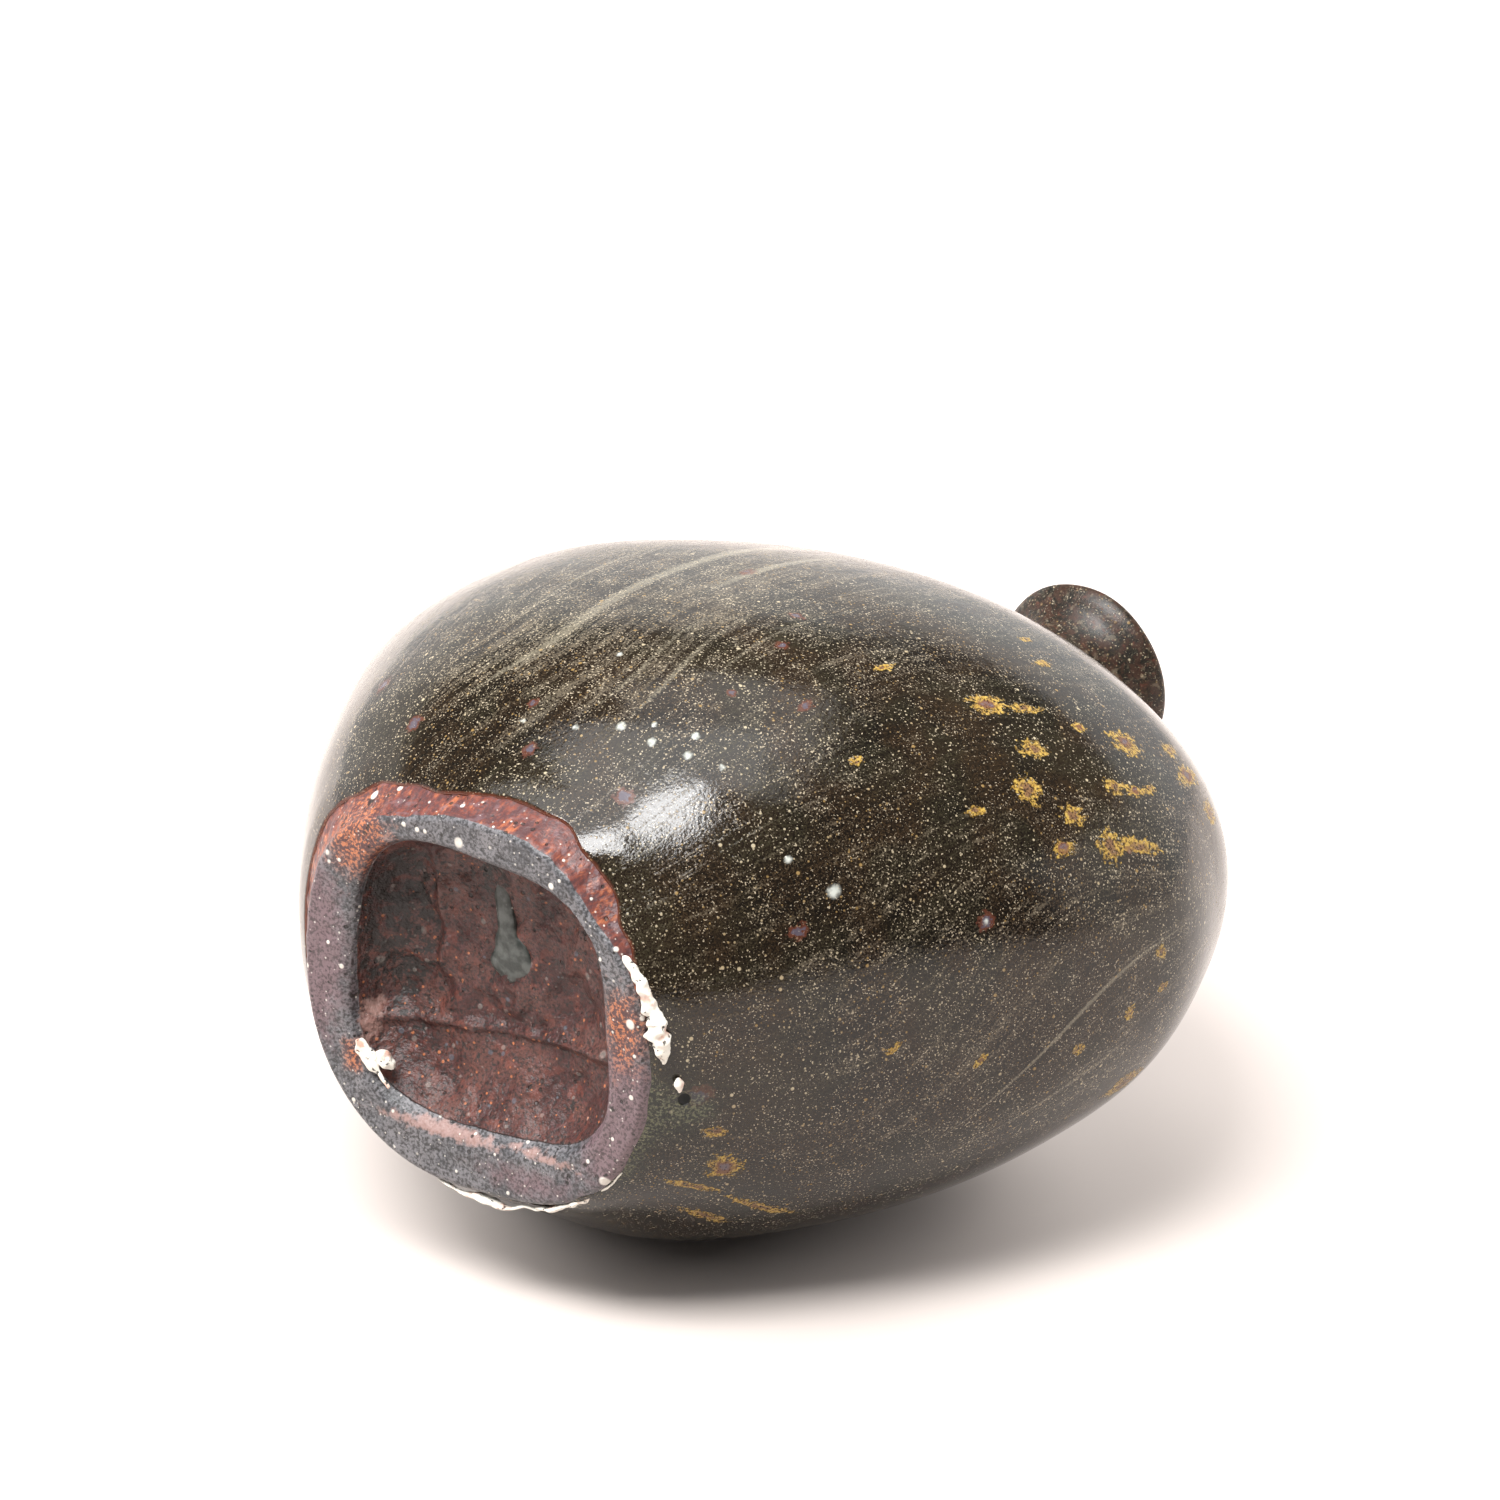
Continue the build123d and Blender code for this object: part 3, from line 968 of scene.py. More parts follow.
@dataclass
class PotGlaze:
    """The dipped glaze outside: a thin closed skin with a rolled lower edge."""

    shape: PotShape
    line: GlazeLine
    run: GlazeRun
    outer_rows: int = 200
    inner_rows: int = 18
    roll: float = 0.22
    roll_width: float = 4.2
    inside_lift: float = -0.75

    def build(self, finishes: Finishes) -> bpy.types.Object:
        """Makes the skin: height runs from the neck's root down to the glaze line and back up inside."""
        bearing = bearings()[None, :]
        edge = self.line.height(bearing)
        down = np.linspace(1.0, 0.0, self.outer_rows)[:, None] ** 1.25
        height = edge + (self.shape.seat - edge) * down
        above = height - edge
        lip = np.sqrt(1.0 - (1.0 - np.clip(above / 0.3, 0.0, 1.0)) ** 2)
        swell = np.sin(0.5 * np.pi * np.clip(above / self.roll_width, 0.0, 1.0))
        settle = smooth_step(26.0, self.roll_width, above)
        thick = 0.5 * self.shape.coat * (lip + swell) + self.roll * swell * settle
        outer = self.shape.surface(bearing, height, thick - self.shape.coat)
        back = np.linspace(0.0, 1.0, self.inner_rows)[:, None]
        inner_height = edge + (self.shape.seat - edge) * back
        inner = self.shape.surface(bearing, inner_height, self.inside_lift)
        traits = self._traits(outer, bearing, height, above, inner, inner_height)
        piece = Skin("pot_iron_glaze", np.vstack([outer, inner]), traits=traits).build()
        return finishes.dress(piece, Slot.GLAZE, "body_glaze")

    def _traits(
        self, outer: Array, bearing: Array, height: Array, above: Array, inner: Array, inner_height: Array
    ) -> dict[Trait, Array]:
        """Values for the glaze's finish; the hidden inner rows get blanks."""
        combed = np.vstack([self.run.combed(bearing, height), self.run.combed(bearing, inner_height)])
        left = 0.8 * np.exp(-((turn_between(bearing, -100.0) / 38.0) ** 2))
        right = 0.5 * np.exp(-((turn_between(bearing, 2.0) / 30.0) ** 2))
        bald = 0.5 * np.exp(-((turn_between(bearing, -48.0) / 16.0) ** 2 + ((height - 58.0) / 20.0) ** 2))
        behind = 0.8 * np.exp(-((turn_between(bearing, 150.0) / 60.0) ** 2))
        streaky = (left + right + behind - bald) * smooth_step(4.0, 26.0, height) - 0.35
        rusty = 1.0 - smooth_step(-22.0, -8.0, bearing) * smooth_step(112.0, 96.0, bearing)
        pool = np.exp(-(((bearing - 22.0) / 30.0) ** 2)) * np.exp(-above / 3.2)
        pool += 0.7 * np.exp(-(((bearing - 12.0) / 6.0) ** 2)) * np.exp(-((above - 5.0) ** 2) / 9.0)
        blank = np.zeros(inner.shape[:2])
        return {
            Trait.COMBED: combed,
            Trait.STREAKY: np.vstack([streaky, blank]),
            Trait.OCHRE: np.vstack([self.run.marks(outer, OCHRE_MARKS), blank - 1.0]),
            Trait.RUST: np.vstack([self.run.marks(outer, RUST_MARKS), blank - 1.0]),
            Trait.BEADS: np.vstack([self.run.marks(outer, BEAD_MARKS), blank - 1.0]),
            Trait.EDGE: np.vstack([np.exp(-above / 0.8) * rusty, blank]),
            Trait.POOL: np.vstack([pool, blank]),
            Trait.DRY: np.zeros(combed.shape[:2]),
        }


@dataclass
class Foot:
    """The bare foot: the side band under the glaze line, the ring it stands on and the scooped recess."""

    shape: PotShape
    line: GlazeLine
    round_over: float = 1.2
    recess_centre: tuple[float, float] = (0.5, -1.4)
    recess_half: tuple[float, float] = (20.9, 19.7)
    recess_power: float = 3.3
    recess_depth: float = 8.8
    plate_top: float = 10.9
    tool_marks: Ripple = Ripple(seed=21, wavelength=9.0)
    lumps: Ripple = Ripple(seed=22, wavelength=3.2)

    def build(self, finishes: Finishes) -> bpy.types.Object:
        """Makes the foot from its hidden top, down the side, across the ring and into the recess."""
        bearing = bearings()[None, :]
        side = self._side(bearing)
        cap = self._cap(side[0])
        turn = self._turn(side[-1])
        ring = self._ring(turn[-1], bearing)
        well, scoop = self._well(ring[-1], bearing)
        rows = np.vstack([cap, side, turn[1:], ring[1:], well])
        count = [len(cap), len(side), len(turn) - 1, len(ring) - 1, len(well)]
        traits = self._traits(rows, count, scoop, bearing)
        centre = np.array([*self.recess_centre, self.recess_depth])
        piece = Skin(
            "bare_foot", rows, start_pole=np.array([0.0, 0.0, self.plate_top]), end_pole=centre, traits=traits
        ).build()
        return finishes.dress(piece, Slot.CLAY, "foot_ring")

    def _side(self, bearing: Array) -> Array:
        """Clay wall from under the glaze down to the start of the rounded edge."""
        top = self.line.height(bearing) + 2.2
        share = np.linspace(0.0, 1.0, 22)[:, None]
        height = top + (self.round_over - top) * share
        points = self.shape.surface(bearing, height, -self.shape.coat)
        streak = Ripple(seed=23, wavelength=2.6).at(points * np.array([1.0, 1.0, 0.15]))
        rough = 0.10 * streak * smooth_step(0.0, 0.4, share) * smooth_step(-10.0, -40.0, bearing)
        return points + self.shape.normal(bearing, height) * rough[..., None]

    def _cap(self, rim: Array) -> Array:
        """Hidden top of the foot: from the middle out to the side, sinking as it goes."""
        share = np.linspace(0.04, 0.97, 12)[:, None]
        flat = rim[None, :, :] * np.stack([share, share, 0.0 * share], axis=-1)
        flat[..., 2] = self.plate_top - (self.plate_top - rim[None, :, 2]) * share**6
        return flat

    def _turn(self, start: Array) -> Array:
        """Rounded lower edge: a quarter circle from the side to the underside."""
        angle = np.radians(np.linspace(0.0, 90.0, 8))[:, None]
        inward = -start / np.linalg.norm(start[:, :2], axis=1, keepdims=True)
        points = start[None] + inward[None] * (self.round_over * (1.0 - np.cos(angle)))[..., None]
        points[..., 2] = start[None, :, 2] * (1.0 - np.sin(angle)) + 0.12
        return points

    def _recess_edge(self, bearing: Array) -> Array:
        """Rounded square that the recess was cut to, a superellipse a little off centre."""
        angle = np.radians(bearing)
        cos, sin = np.cos(angle), np.sin(angle)
        power = self.recess_power
        reach = (np.abs(cos) ** power + np.abs(sin) ** power) ** (-1.0 / power)
        wobble = 1.0 + 0.018 * np.sin(3 * angle + 0.6) + 0.012 * np.sin(5 * angle - 1.0)
        x = self.recess_centre[0] + self.recess_half[0] * reach * cos * wobble
        y = self.recess_centre[1] + self.recess_half[1] * reach * sin * wobble
        return np.stack([x, y, 0.0 * x], axis=-1)

    def _ring(self, start: Array, bearing: Array) -> Array:
        """Underside of the ring: nearly flat, easing up into the recess and slightly uneven."""
        share = np.linspace(0.0, 1.0, 34)[:, None]
        edge = self._recess_edge(bearing)
        points = start[None] + (edge - start[None]) * share[..., None]
        ease = 0.9 * share**9
        rough = 0.10 * self.lumps.at(points) + 0.10
        points[..., 2] = 0.12 + np.clip(rough, 0.0, 0.4) * np.sin(np.pi * np.clip(share, 0, 1)) + ease
        return points

    def _well(self, start: Array, bearing: Array) -> tuple[Array, Array]:
        """Recess: its depth rises with one minus a power of the distance out, steeper on the -X side."""
        out = 1.0 - np.linspace(0.012, 0.97, 70)[:, None] ** 1.35
        lean = 4.6 + 5.0 * smooth_step(-0.5, 0.9, -np.cos(np.radians(bearing - 45.0)))
        lean = lean - 1.8 * smooth_step(0.2, 1.0, np.sin(np.radians(bearing)))
        scoop = np.clip(1.0 - out**lean, 0.0, 1.0) ** 0.9
        centre = np.array([*self.recess_centre, 0.0])
        points = centre + (start - centre)[None] * out[..., None]
        depth = start[None, :, 2] + (self.recess_depth - start[None, :, 2]) * scoop
        marks = 0.50 * self.tool_marks.at(points) + 0.24 * self.lumps.at(points)
        marks = marks - 0.9 * np.exp(-(((points[..., 1] - 5.6 + 0.12 * points[..., 0]) / 0.7) ** 2))
        groove = np.exp(-(((points[..., 0] + 10.5) / 0.8) ** 2))
        marks = marks - 0.8 * groove * smooth_step(2.0, -4.0, points[..., 1])
        points[..., 2] = np.minimum(depth + marks * np.sqrt(scoop) - 0.4 * scoop, self.recess_depth + 0.5)
        return points, scoop

    def _traits(self, rows: Array, count: list[int], scoop: Array, bearing: Array) -> dict[Trait, Array]:
        """Zones of the bare clay."""
        x, y = rows[..., 0], rows[..., 1]
        shape = rows.shape[:2]
        under = np.zeros(shape)
        ring_start = count[0] + count[1] + count[2] // 2
        glazed = (bearing[0] > -20.0) & (bearing[0] < 105.0)
        well_start = sum(count[:4])
        under[ring_start:] = 1.0
        under[count[0] + count[1] // 2 : ring_start, glazed] = 1.0
        well = np.zeros(shape)
        well[well_start:] = smooth_step(0.02, 0.25, scoop)
        well[well_start - 4 : well_start] = 0.15

        def patch(cx: float, cy: float, rx: float, ry: float) -> Array:
            """Soft oval patch: its middle and its reach along each axis."""
            return np.exp(-(((x - cx) / rx) ** 2) - ((y - cy) / ry) ** 2)

        flash = 0.9 * patch(-18.0, -18.5, 7.5, 7.0) + 0.8 * patch(24.5, -4.0, 4.5, 8.0)
        flash += 0.8 * patch(-19.8, 12.0, 2.4, 3.2)
        flash = np.clip(flash * (1.0 - well), 0.0, 1.0)
        # Black on the recess's left wall and near its top wall: partly a real stain, partly painted shade
        # where those walls lie in shade.
        stain_and_shade = patch(-17.0, -7.0, 5.0, 12.0) * well + 0.6 * patch(-2.0, -17.0, 3.5, 4.0) * well
        abraded = patch(-6.0, 18.6, 12.0, 1.2) + 0.8 * patch(-19.0, 8.0, 1.4, 6.0)
        abraded += 0.7 * patch(12.0, 17.6, 8.0, 1.1)
        purple = patch(-28.0, -2.0, 8.0, 17.0) + patch(24.0, 9.0, 8.0, 13.0)
        purple += 0.6 * patch(8.0, 22.0, 10.0, 3.0)
        return {
            Trait.RING: under,
            Trait.RECESS: well,
            Trait.FLASH: flash,
            Trait.STAIN_AND_SHADE: np.clip(stain_and_shade, 0.0, 1.0),
            Trait.ABRADED: np.clip(abraded, 0.0, 1.0),
            Trait.HEATHER: np.clip(purple, 0.0, 1.0),
        }


@dataclass
class PotClay:
    """The thrown wall under the glaze, in the three stages it is thrown in."""

    shape: PotShape
    around: int = 160
    base_top: float = 34.0
    wall_top: float = 84.0
    floor_top: float = 15.0
    floor_bottom: float = 11.2

    def build(self, finishes: Finishes) -> list[bpy.types.Object]:
        """Makes base, wall and shoulder as closed solids that meet at level joints."""
        bearing = bearings(self.around)[None, :]
        outside = self.wall_rows(bearing, self.base_top, self.floor_bottom + 1.0, True, 14)
        inside = self.wall_rows(bearing, self.floor_top + 5.0, self.base_top, False, 14)
        floor_inside = self._floor(inside[0], self.floor_top, rising=False)
        floor_outside = self._floor(outside[-1], self.floor_bottom, rising=True)
        base = Skin(
            "pot_base_clay",
            np.vstack([floor_inside, inside, outside, floor_outside]),
            start_pole=np.array([0.0, 0.0, self.floor_top]),
            end_pole=np.array([0.0, 0.0, self.floor_bottom]),
        ).build()
        wall = self._stage("pot_wall_clay", bearing, self.base_top, self.wall_top)
        shoulder = self._stage("pot_shoulder_clay", bearing, self.wall_top, self.shape.seat - 0.5)
        return [
            finishes.dress(base, Slot.INNER_CLAY, "pot_base"),
            finishes.dress(wall, Slot.INNER_CLAY, "pot_wall"),
            finishes.dress(shoulder, Slot.INNER_CLAY, "pot_shoulder"),
        ]

    def wall_rows(self, bearing: Array, start: float, stop: float, outside: bool, count: int) -> Array:
        """Rows of the wall between two heights; the inside one carries faint throwing rings.

        Each row stays level, so its lift grows with the slope to keep the wall's depth square to the glaze.

        Args:
            bearing: Bearings of the points along a row.
            start: Height of the first row.
            stop: Height of the last row.
            outside: Whether the rows lie just under the glaze, or on the cavity.
            count: How many rows.

        Returns:
            The rows of points.
        """
        height = np.linspace(start, stop, count)[:, None]
        lift = np.full((count, 1), -self.shape.coat - (0.3 if outside else self.shape.wall))
        if not outside:
            lift = lift + 0.25 * np.sin(height * TAU / 7.0)
        level = np.linalg.norm(self.shape.normal(bearing, height)[..., :2], axis=-1)
        lift = lift / np.clip(level, 0.42, 1.0) ** 2
        rows = self.shape.surface(bearing, height, lift)
        rows[..., 2] = height
        return rows

    def _floor(self, rim: Array, level: float, rising: bool) -> Array:
        """Rows of a floor between its middle and a rim, rounding up into the wall."""
        share = np.linspace(0.12, 0.94, 8)[:, None]
        share = share[::-1] if rising else share
        rows = rim[None] * np.stack([share, share, 0.0 * share], axis=-1)
        rows[..., 2] = level + (rim[None, :, 2] - level) * share**5
        return rows

    def _stage(self, name: str, bearing: Array, low: float, high: float) -> bpy.types.Object:
        """A hollow stage of the wall: outside downward, then inside upward."""
        outer = self.wall_rows(bearing, high, low, True, 26)
        inner = self.wall_rows(bearing, low, high, False, 26)
        if high > self.shape.seat - 1.0:
            inner = self._close_to_neck(inner)
        return Skin(name, np.vstack([outer, inner])).build()

    def _close_to_neck(self, inner: Array) -> Array:
        """Keeps the shoulder's inside from closing tighter than the neck's bore."""
        radius = np.linalg.norm(inner[..., :2], axis=-1, keepdims=True)
        inner[..., :2] *= np.maximum(radius, 8.1) / radius
        return inner


@dataclass
class Neck:
    """Short neck with a flared, rolled lip: clay, the slip seam at its root and the glaze over both."""

    shape: PotShape
    around: int = 220
    lip_offset: tuple[float, float] = (1.8, -1.4)
    coat: float = 0.5
    seam_first: int = 33
    seam_last: int = 43
    uneven: Ripple = Ripple(seed=41, wavelength=14.0)
    outside: tuple[tuple[float, float], ...] = (
        (12.8, 0.0),
        (13.8, -0.4),
        (14.2, -1.4),
        (13.4, -2.6),
        (11.7, -4.0),
        (10.5, -6.2),
        (10.3, -9.4),
        (11.0, -12.0),
        (12.6, -14.2),
        (15.2, -16.4),
    )
    throat: tuple[tuple[float, float], ...] = (
        (7.6, -16.6),
        (7.5, -13.0),
        (7.7, -9.0),
        (8.7, -5.4),
        (10.3, -2.2),
        (11.4, -0.5),
    )

    def build(self, finishes: Finishes) -> list[bpy.types.Object]:
        """Makes the glaze skin, the clay neck inside it and the slip seam."""
        outer = self._path(self.outside, 46)
        inner = self._path(self.throat, 30)
        hidden_outer = self._inset(outer, self.coat)
        hidden_inner = self._inset(inner, self.coat)
        glaze_path = np.vstack([outer, hidden_outer[::-1], hidden_inner[::-1], inner])
        glaze = Skin("neck_iron_glaze", self._turned(glaze_path), traits=self._traits(glaze_path)).build()
        clay_outer = self._inset(outer, self.coat + 0.1)[:-10]
        clay_inner = self._inset(inner, self.coat + 0.1)
        clay = Skin("neck_clay", self._turned(np.vstack([clay_outer, clay_inner]))).build()
        slip = self._seam(self._inset(outer, self.coat + 0.3)[self.seam_first : self.seam_last])
        return [
            finishes.dress(glaze, Slot.GLAZE, "neck_glaze"),
            finishes.dress(clay, Slot.INNER_CLAY, "neck"),
            finishes.dress(slip, Slot.INNER_CLAY, "slip_seam"),
        ]

    def _path(self, knots: tuple[tuple[float, float], ...], count: int) -> Array:
        """Smooth section through the knots: radius, and height below the lip."""
        table = np.array(knots)
        steps = np.arange(len(knots), dtype=float)
        at = np.linspace(0.0, steps[-1], count)
        return np.stack([hermite(at, steps, table[:, 0]), hermite(at, steps, table[:, 1])], axis=-1)

    def _inset(self, path: Array, depth: float) -> Array:
        """The section moved into the clay, square to itself."""
        along = np.gradient(path, axis=0)
        along /= np.linalg.norm(along, axis=1, keepdims=True)
        side = np.stack([along[:, 1], -along[:, 0]], axis=-1)
        return path + side * depth

    def _turned(self, path: Array) -> Array:
        """The section carried round the bottle, leaning a little and slightly out of round."""
        angle = np.radians(bearings(self.around))[None, :]
        radius, fall = path[:, 0][:, None], path[:, 1][:, None]
        share = 1.0 + fall / 16.0
        circle = np.stack([np.cos(angle), np.sin(angle), 0.0 * angle], axis=-1)
        wave = self.uneven.at(12.0 * circle + np.stack([0 * fall, 0 * fall, fall], axis=-1))
        reach = radius + 0.16 * wave
        root = smooth_step(-12.0, -16.4, fall)
        x = reach * np.cos(angle) * (1.0 + 0.07 * root) + self.lip_offset[0] * share
        y = reach * np.sin(angle) * (1.0 - 0.06 * root) + self.lip_offset[1] * share
        z = self.shape.height + fall - 0.25 + 0.12 * np.sin(2 * angle + 0.5) * np.clip(share, 0.0, 1.0)
        return np.stack([x, y, z + 0.0 * x], axis=-1)

    def _traits(self, path: Array) -> dict[Trait, Array]:
        """Glaze traits: breaks rusty on the rolled lip, otherwise lightly combed."""
        angle = np.radians(bearings(self.around))[None, :]
        fall = path[:, 1][:, None]
        combed = np.stack([
            42.0 * np.cos(angle) + 0.0 * fall,
            42.0 * np.sin(angle) + 0.0 * fall,
            (self.shape.height + fall) / 3.0 + 0.0 * angle,
        ], axis=-1)
        flat = np.zeros((len(path), self.around))
        lip = np.exp(-(((fall + 1.2) / 0.9) ** 2)) * 0.62 + 0.0 * angle
        return {
            Trait.COMBED: combed,
            Trait.STREAKY: flat - 0.3,
            Trait.OCHRE: flat - 0.75,
            Trait.RUST: flat - 0.10,
            Trait.BEADS: flat - 1.0,
            Trait.EDGE: lip,
            Trait.DRY: flat + 1.0,
            Trait.POOL: flat,
        }

    def _seam(self, root: Array) -> bpy.types.Object:
        """Ring of slip in the corner between neck and shoulder, a small wedge turned round."""
        wedge = np.vstack([root, root[::-1] - np.array([1.0, 0.3])])
        return Skin("slip_seam_ring", self._turned(wedge)).build()


@dataclass
class Liner:
    """Glaze poured inside: a thin closed skin over the cavity."""

    shape: PotShape
    around: int = 140
    rows: int = 60
    low: float = 20.0
    floor: float = 15.1
    bore: float = 7.9
    thickness: float = 0.45

    def build(self, finishes: Finishes) -> bpy.types.Object:
        """Makes the skin: hidden side from the floor up, then the wet side from the neck down."""
        bearing = bearings(self.around)[None, :]
        wet = self._side(bearing, self.shape.coat + self.shape.wall + self.thickness + 0.3)
        hidden = self._side(bearing, self.shape.coat + self.shape.wall + 0.3)
        pole_wet = np.array([0.0, 0.0, self.floor + self.thickness])
        pole_hidden = np.array([0.0, 0.0, self.floor])
        piece = Skin(
            "liner_glaze_skin",
            np.vstack([wet[::-1], hidden]),
            start_pole=pole_wet,
            end_pole=pole_hidden,
        ).build()
        return finishes.dress(piece, Slot.LINER, "inner_glaze")

    def _side(self, bearing: Array, depth: float) -> Array:
        """One side of the skin, from the neck's bore down to the middle of the floor."""
        height = np.linspace(self.shape.seat - 4.0, self.low, self.rows)[:, None]
        level = np.linalg.norm(self.shape.normal(bearing, height)[..., :2], axis=-1)
        wall = self.shape.surface(bearing, height, -depth / np.clip(level, 0.42, 1.0) ** 2)
        wall[..., 2] = height
        radius = np.linalg.norm(wall[..., :2], axis=-1, keepdims=True)
        bore = self.bore - (depth - self.shape.coat - self.shape.wall)
        wall[..., :2] *= np.maximum(radius, bore) / radius
        share = np.linspace(0.94, 0.1, 8)[:, None]
        floor = wall[-1][None] * np.stack([share, share, 0.0 * share], axis=-1)
        level = self.floor + (depth - self.shape.coat - self.shape.wall - 0.3)
        floor[..., 2] = level + (self.low - level) * share**5
        top = wall[0].copy()
        reach = np.linalg.norm(top[..., :2], axis=-1, keepdims=True)
        top[..., :2] *= bore / reach
        top[..., 2] = self.shape.seat
        return np.vstack([top[None], wall, floor])


@dataclass(frozen=True)
class Crust:
    """A run of setting clay along the foot; each pair gives its value at the start and at the end."""

    bearing: tuple[float, float]
    reach: tuple[float, float]
    height: tuple[float, float]
    size: float
    seed: int
    flat: float = 0.0


@dataclass
class KilnWads:
    """Ragged crusts of setting clay fused to the foot."""

    crusts: tuple[Crust, ...] = (
        Crust((-31.0, -4.0), (27.6, 30.3), (1.2, 2.2), 1.35, 51, flat=0.25),
        Crust((-14.0, -1.0), (29.6, 30.2), (1.3, 1.5), 1.75, 52, flat=0.3),
        Crust((34.0, 70.0), (29.0, 27.5), (1.3, 1.2), 0.62, 53),
        Crust((66.0, 104.0), (27.6, 26.7), (1.2, 1.0), 0.72, 54),
        Crust((132.0, 154.0), (20.4, 21.0), (0.4, 0.3), 1.6, 55, flat=1.0),
        Crust((2.8, 6.6), (31.3, 31.3), (3.0, 3.1), 0.55, 56),
        Crust((137.0, 147.0), (18.6, 19.4), (1.3, 1.0), 1.0, 57, flat=0.5),
    )
    along: int = 56
    around: int = 20

    def build(self, finishes: Finishes) -> bpy.types.Object:
        """Makes every crust as a rough closed sausage and joins them as one group."""
        parts = [self._crust(crust) for crust in self.crusts]
        with bpy.context.temp_override(active_object=parts[0], selected_editable_objects=parts):
            bpy.ops.object.join()
        parts[0].name = "setting_clay_crusts"
        return finishes.dress(parts[0], Slot.CRUST, "kiln_wads")

    def _crust(self, crust: Crust) -> bpy.types.Object:
        """One crust: a circle carried along the foot, its radius swelling and pinching by a ripple."""
        share = np.linspace(0.02, 0.98, self.along)[:, None]
        bearing, reach, height = (
            first + (last - first) * share for first, last in (crust.bearing, crust.reach, crust.height)
        )
        bearing = np.radians(bearing)
        wander = Ripple(seed=crust.seed, wavelength=6.0)
        fine = Ripple(seed=crust.seed + 100, wavelength=1.5)
        spine = np.stack([reach * np.cos(bearing), reach * np.sin(bearing), height], axis=-1)
        spine = spine * (1.0 + 0.006 * wander.at(spine * 1.7))[..., None]
        swell = np.clip(0.78 + 0.30 * wander.at(spine), 0.25, 1.5)
        size = crust.size * swell * np.sqrt(np.clip(4 * share * (1 - share), 0.02, 1.0))
        angle = np.radians(bearings(self.around))[None, :]
        out = np.stack([np.cos(bearing), np.sin(bearing), 0.0 * bearing], axis=-1)
        up = np.array([0.0, 0.0, 1.0])
        thick = (0.62 + 0.5 * crust.flat) * size
        tall = (1.15 - 0.7 * crust.flat) * size
        rows = spine + out * (thick * np.cos(angle))[..., None] + up * (tall * np.sin(angle))[..., None]
        rows += (rows - spine) * (0.20 * fine.at(rows))[..., None]
        rows[..., 2] = np.maximum(rows[..., 2], 0.02)
        ends = [rows[0].mean(0), rows[-1].mean(0)]
        return Skin(f"crust_{crust.seed}", rows, start_pole=ends[0], end_pole=ends[1]).build()


@dataclass
class RecessDrip:
    """The puddle of grey-green glaze in the recess, with its runnel."""

    foot: Foot
    centre: tuple[float, float] = (0.4, -4.6)
    radius: float = 3.4
    around: int = 60
    rows: int = 14

    def build(self, finishes: Finishes) -> bpy.types.Object:
        """Makes the puddle: a lobed disc on the recess's roof, thick in the middle and thin at its rim."""
        angle = np.radians(bearings(self.around))[None, :]
        lobes = 1.0 + 0.10 * np.sin(3 * angle + 1.0) + 0.08 * np.sin(5 * angle)
        runnel = 2.6 * np.exp(-((turn_between(np.degrees(angle), -99.0) / 12.0) ** 2))
        outline = self.radius * (lobes + runnel)
        share = np.linspace(0.06, 1.0, self.rows)[:, None]
        x = self.centre[0] + outline * share * np.cos(angle)
        y = self.centre[1] + outline * share * np.sin(angle)
        roof = self.foot.recess_depth - 0.25 + 0.0 * x
        lower = np.stack([x, y, roof - 0.75 * np.sqrt(1.0 - 0.9 * share**2) + 0.0 * x], axis=-1)
        upper = np.stack([x, y, roof + 0.9], axis=-1)
        rows = np.vstack([upper, lower[::-1]])
        top = np.array([*self.centre, self.foot.recess_depth + 0.65])
        bottom = np.array([*self.centre, self.foot.recess_depth - 1.0])
        piece = Skin("recess_glaze_drip", rows, start_pole=top, end_pole=bottom).build()
        return finishes.dress(piece, Slot.DRIP, "recess_splash")


# ------------------------------------------------------------------------------------ studio


@dataclass(frozen=True)
class Lamp:
    """One area light: where its middle is (right, front, up), its two sides and its radiance.

    A lamp that is not mirrored lights the clay and glaze without showing in the gloss.
    """

    name: str
    right: float
    front: float
    up: float
    width: float
    depth: float
    radiance: float
    mirrored: bool = True


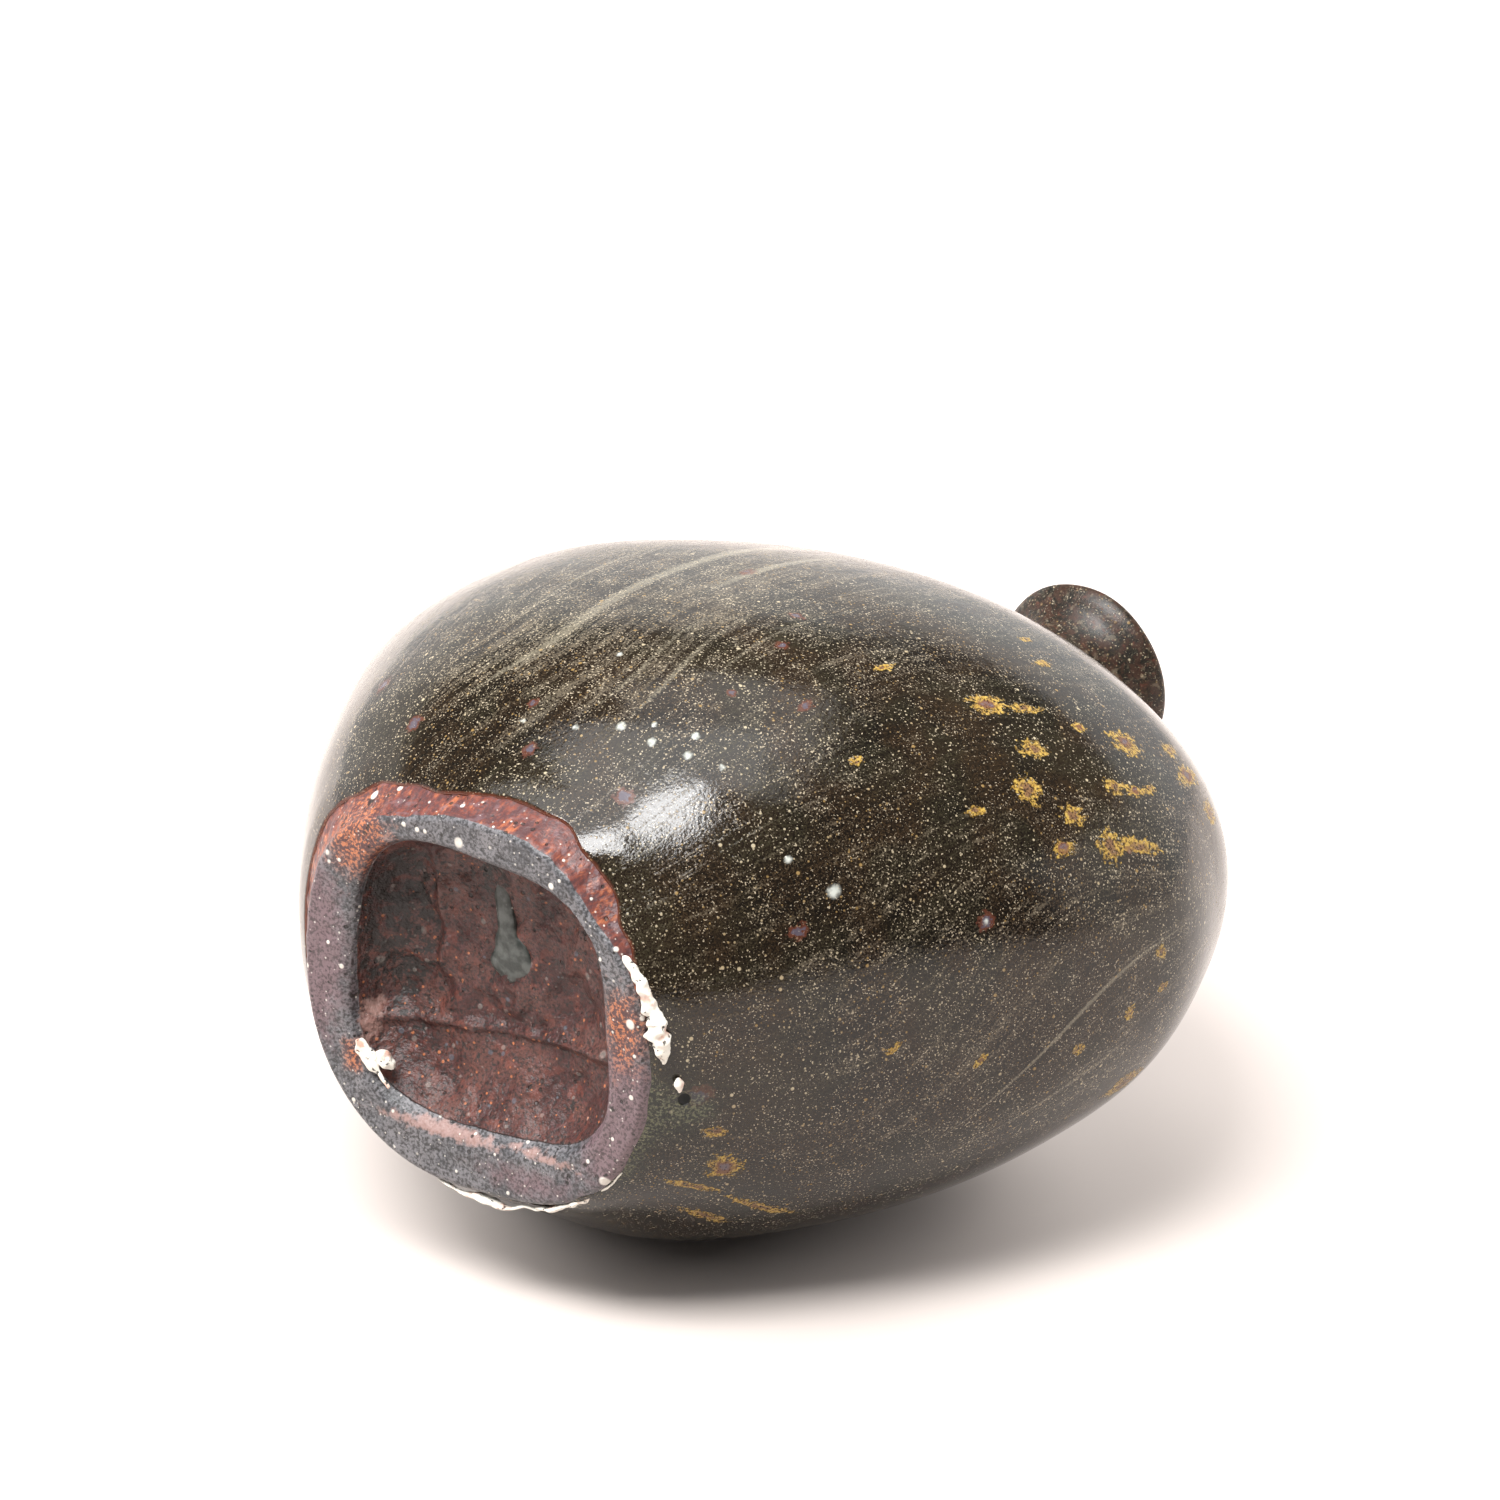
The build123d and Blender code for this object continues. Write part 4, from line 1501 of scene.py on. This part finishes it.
@dataclass
class Studio:
    """Pale floor under the lying bottle, softboxes over it, fills round it and the camera.

    The bottle lies on its +Y face, so up in the studio is -Y of the frame.
    """

    shape: PotShape
    heading: float = 36.1
    elevation: float = 22.9
    roll: float = 0.49
    distance: float = 900.0
    lens: float = 168.3
    aim: tuple[float, float, float] = (21.1, -31.2, 31.7)
    floor_tone: Colour = (0.535, 0.482, 0.452)
    surround: float = 1.15
    ceiling: float = 0.10
    lamps: tuple["Lamp", ...] = (
        Lamp("softbox_front", -290.0, 400.0, 800.0, 620.0, 340.0, 26.0),
        Lamp("softbox_over", -140.0, 20.0, 800.0, 700.0, 420.0, 3.5),
        Lamp("softbox_right", 55.0, -160.0, 800.0, 470.0, 880.0, 1.6),
        Lamp("back_left_fill", -580.0, -1004.0, 311.0, 600.0, 600.0, 14.0, mirrored=False),
        Lamp("back_right_fill", 640.0, -620.0, 640.0, 600.0, 600.0, 10.0, mirrored=False),
        Lamp("high_left_fill", -520.0, 300.0, 1040.0, 600.0, 600.0, 3.0, mirrored=False),
        Lamp("left_bounce", -980.0, -60.0, 600.0, 600.0, 600.0, 9.0, mirrored=False),
        Lamp("right_bounce", 980.0, 60.0, 600.0, 600.0, 600.0, 6.0, mirrored=False),
    )

    def build(self) -> None:
        """Sets up camera, light, floor and background."""
        heading = math.radians(self.heading)
        self.up = Vector((0.0, -1.0, 0.0))
        self.front = Vector((math.sin(heading), 0.0, -math.cos(heading)))
        self.right = Vector((math.cos(heading), 0.0, math.sin(heading)))
        self._camera()
        for lamp in self.lamps:
            self._lamp(lamp)
        self._floors()
        self._world()
        view = bpy.context.scene.view_settings
        view.view_transform = "Standard"
        view.look = "None"

    def _camera(self) -> None:
        """Camera at the viewing angle, level but for a slight roll."""
        tilt = math.radians(self.elevation)
        back = self.front * math.cos(tilt) + self.up * math.sin(tilt)
        upward = self.up * math.cos(tilt) - self.front * math.sin(tilt)
        turn = Matrix.Rotation(math.radians(self.roll), 3, back)
        right, upward = turn @ self.right, turn @ upward
        data = bpy.data.cameras.new("camera")
        data.lens = self.lens
        data.sensor_width = 36.0
        data.clip_start, data.clip_end = 0.05, 20.0
        camera = bpy.data.objects.new("camera", data)
        bpy.context.scene.collection.objects.link(camera)
        basis = Matrix((right, upward, back)).transposed().to_4x4()
        basis.translation = (Vector(self.aim) + back * self.distance) * MM
        camera.matrix_world = basis
        bpy.context.scene.camera = camera

    def _lamp(self, lamp: Lamp) -> None:
        """Adds an area light that faces the middle of the bottle."""
        data = bpy.data.lights.new(lamp.name, "AREA")
        data.shape = "RECTANGLE"
        data.size, data.size_y = lamp.width * MM, lamp.depth * MM
        data.energy = lamp.radiance * math.pi * data.size * data.size_y
        light = bpy.data.objects.new(lamp.name, data)
        bpy.context.scene.collection.objects.link(light)
        offset = self.right * lamp.right + self.front * lamp.front + self.up * lamp.up
        spot = Vector((0.0, 0.0, self.shape.height / 3)) + offset
        if lamp.mirrored:
            basis = Matrix((self.right, self.front, self.up)).transposed().to_4x4()
        else:
            basis = offset.to_track_quat("Z", "Y").to_matrix().to_4x4()
        basis.translation = spot * MM
        light.matrix_world = basis
        light.visible_glossy = lamp.mirrored

    def _floors(self) -> None:
        """Pale floor under the lying bottle, seen only from its own side."""
        rest = self.shape.half_depth + 0.2
        spread = 1000.0
        corners = []
        for side, ahead in ((-1, -1), (1, -1), (1, 1), (-1, 1)):
            corner = self.right * side * spread + self.front * ahead * spread - self.up * rest
            corners.append(corner * MM)
        mesh = bpy.data.meshes.new("floor")
        mesh.from_pydata(corners, [], [(0, 1, 2, 3)])
        if mesh.polygons[0].normal.dot(self.up) < 0:
            mesh.flip_normals()
        floor = bpy.data.objects.new("floor", mesh)
        bpy.context.scene.collection.objects.link(floor)
        w = ShaderWriter(bpy.data.materials.new("floor_paper"))
        paper = w.node("ShaderNodeBsdfDiffuse", {}, {"Color": self.floor_tone})
        clear = w.node("ShaderNodeBsdfTransparent")
        facing = w.node("ShaderNodeNewGeometry")
        both = w.node("ShaderNodeMixShader", {}, {"Fac": Signal(w, facing.outputs["Backfacing"])})
        w.tree.links.new(paper.outputs[0], both.inputs[1])
        w.tree.links.new(clear.outputs[0], both.inputs[2])
        output = w.node("ShaderNodeOutputMaterial")
        w.tree.links.new(both.outputs[0], output.inputs["Surface"])
        mesh.materials.append(w.owner)

    def _world(self) -> None:
        """White card all round but in front, up to a low height; a dim ceiling; white to the camera."""
        world = bpy.data.worlds.new("studio")
        bpy.context.scene.world = world
        w = ShaderWriter(world)
        way = Signal(w, w.node("ShaderNodeTexCoord").outputs["Generated"])
        rise = w.along(way, tuple(self.up)).ramp(0.48, 0.38)
        ahead = w.along(way, tuple(self.front)).ramp(0.45, 0.15)
        glow = self.ceiling + (self.surround - self.ceiling) * rise * ahead
        seen = Signal(w, w.node("ShaderNodeLightPath").outputs["Is Camera Ray"])
        sky = w.node("ShaderNodeBackground", {}, {"Strength": glow.greater(seen * 1.05)})
        output = w.node("ShaderNodeOutputWorld")
        w.tree.links.new(sky.outputs[0], output.inputs["Surface"])


def main() -> None:
    """Builds every member, then the studio."""
    shape = PotShape.from_frame()
    line = GlazeLine()
    run = GlazeRun(shape)
    finishes = Finishes(shape)
    foot = Foot(shape, line)
    PotGlaze(shape, line, run).build(finishes)
    foot.build(finishes)
    PotClay(shape).build(finishes)
    Neck(shape).build(finishes)
    Liner(shape).build(finishes)
    KilnWads().build(finishes)
    RecessDrip(foot).build(finishes)
    Studio(shape).build()


if __name__ == "__main__":
    main()
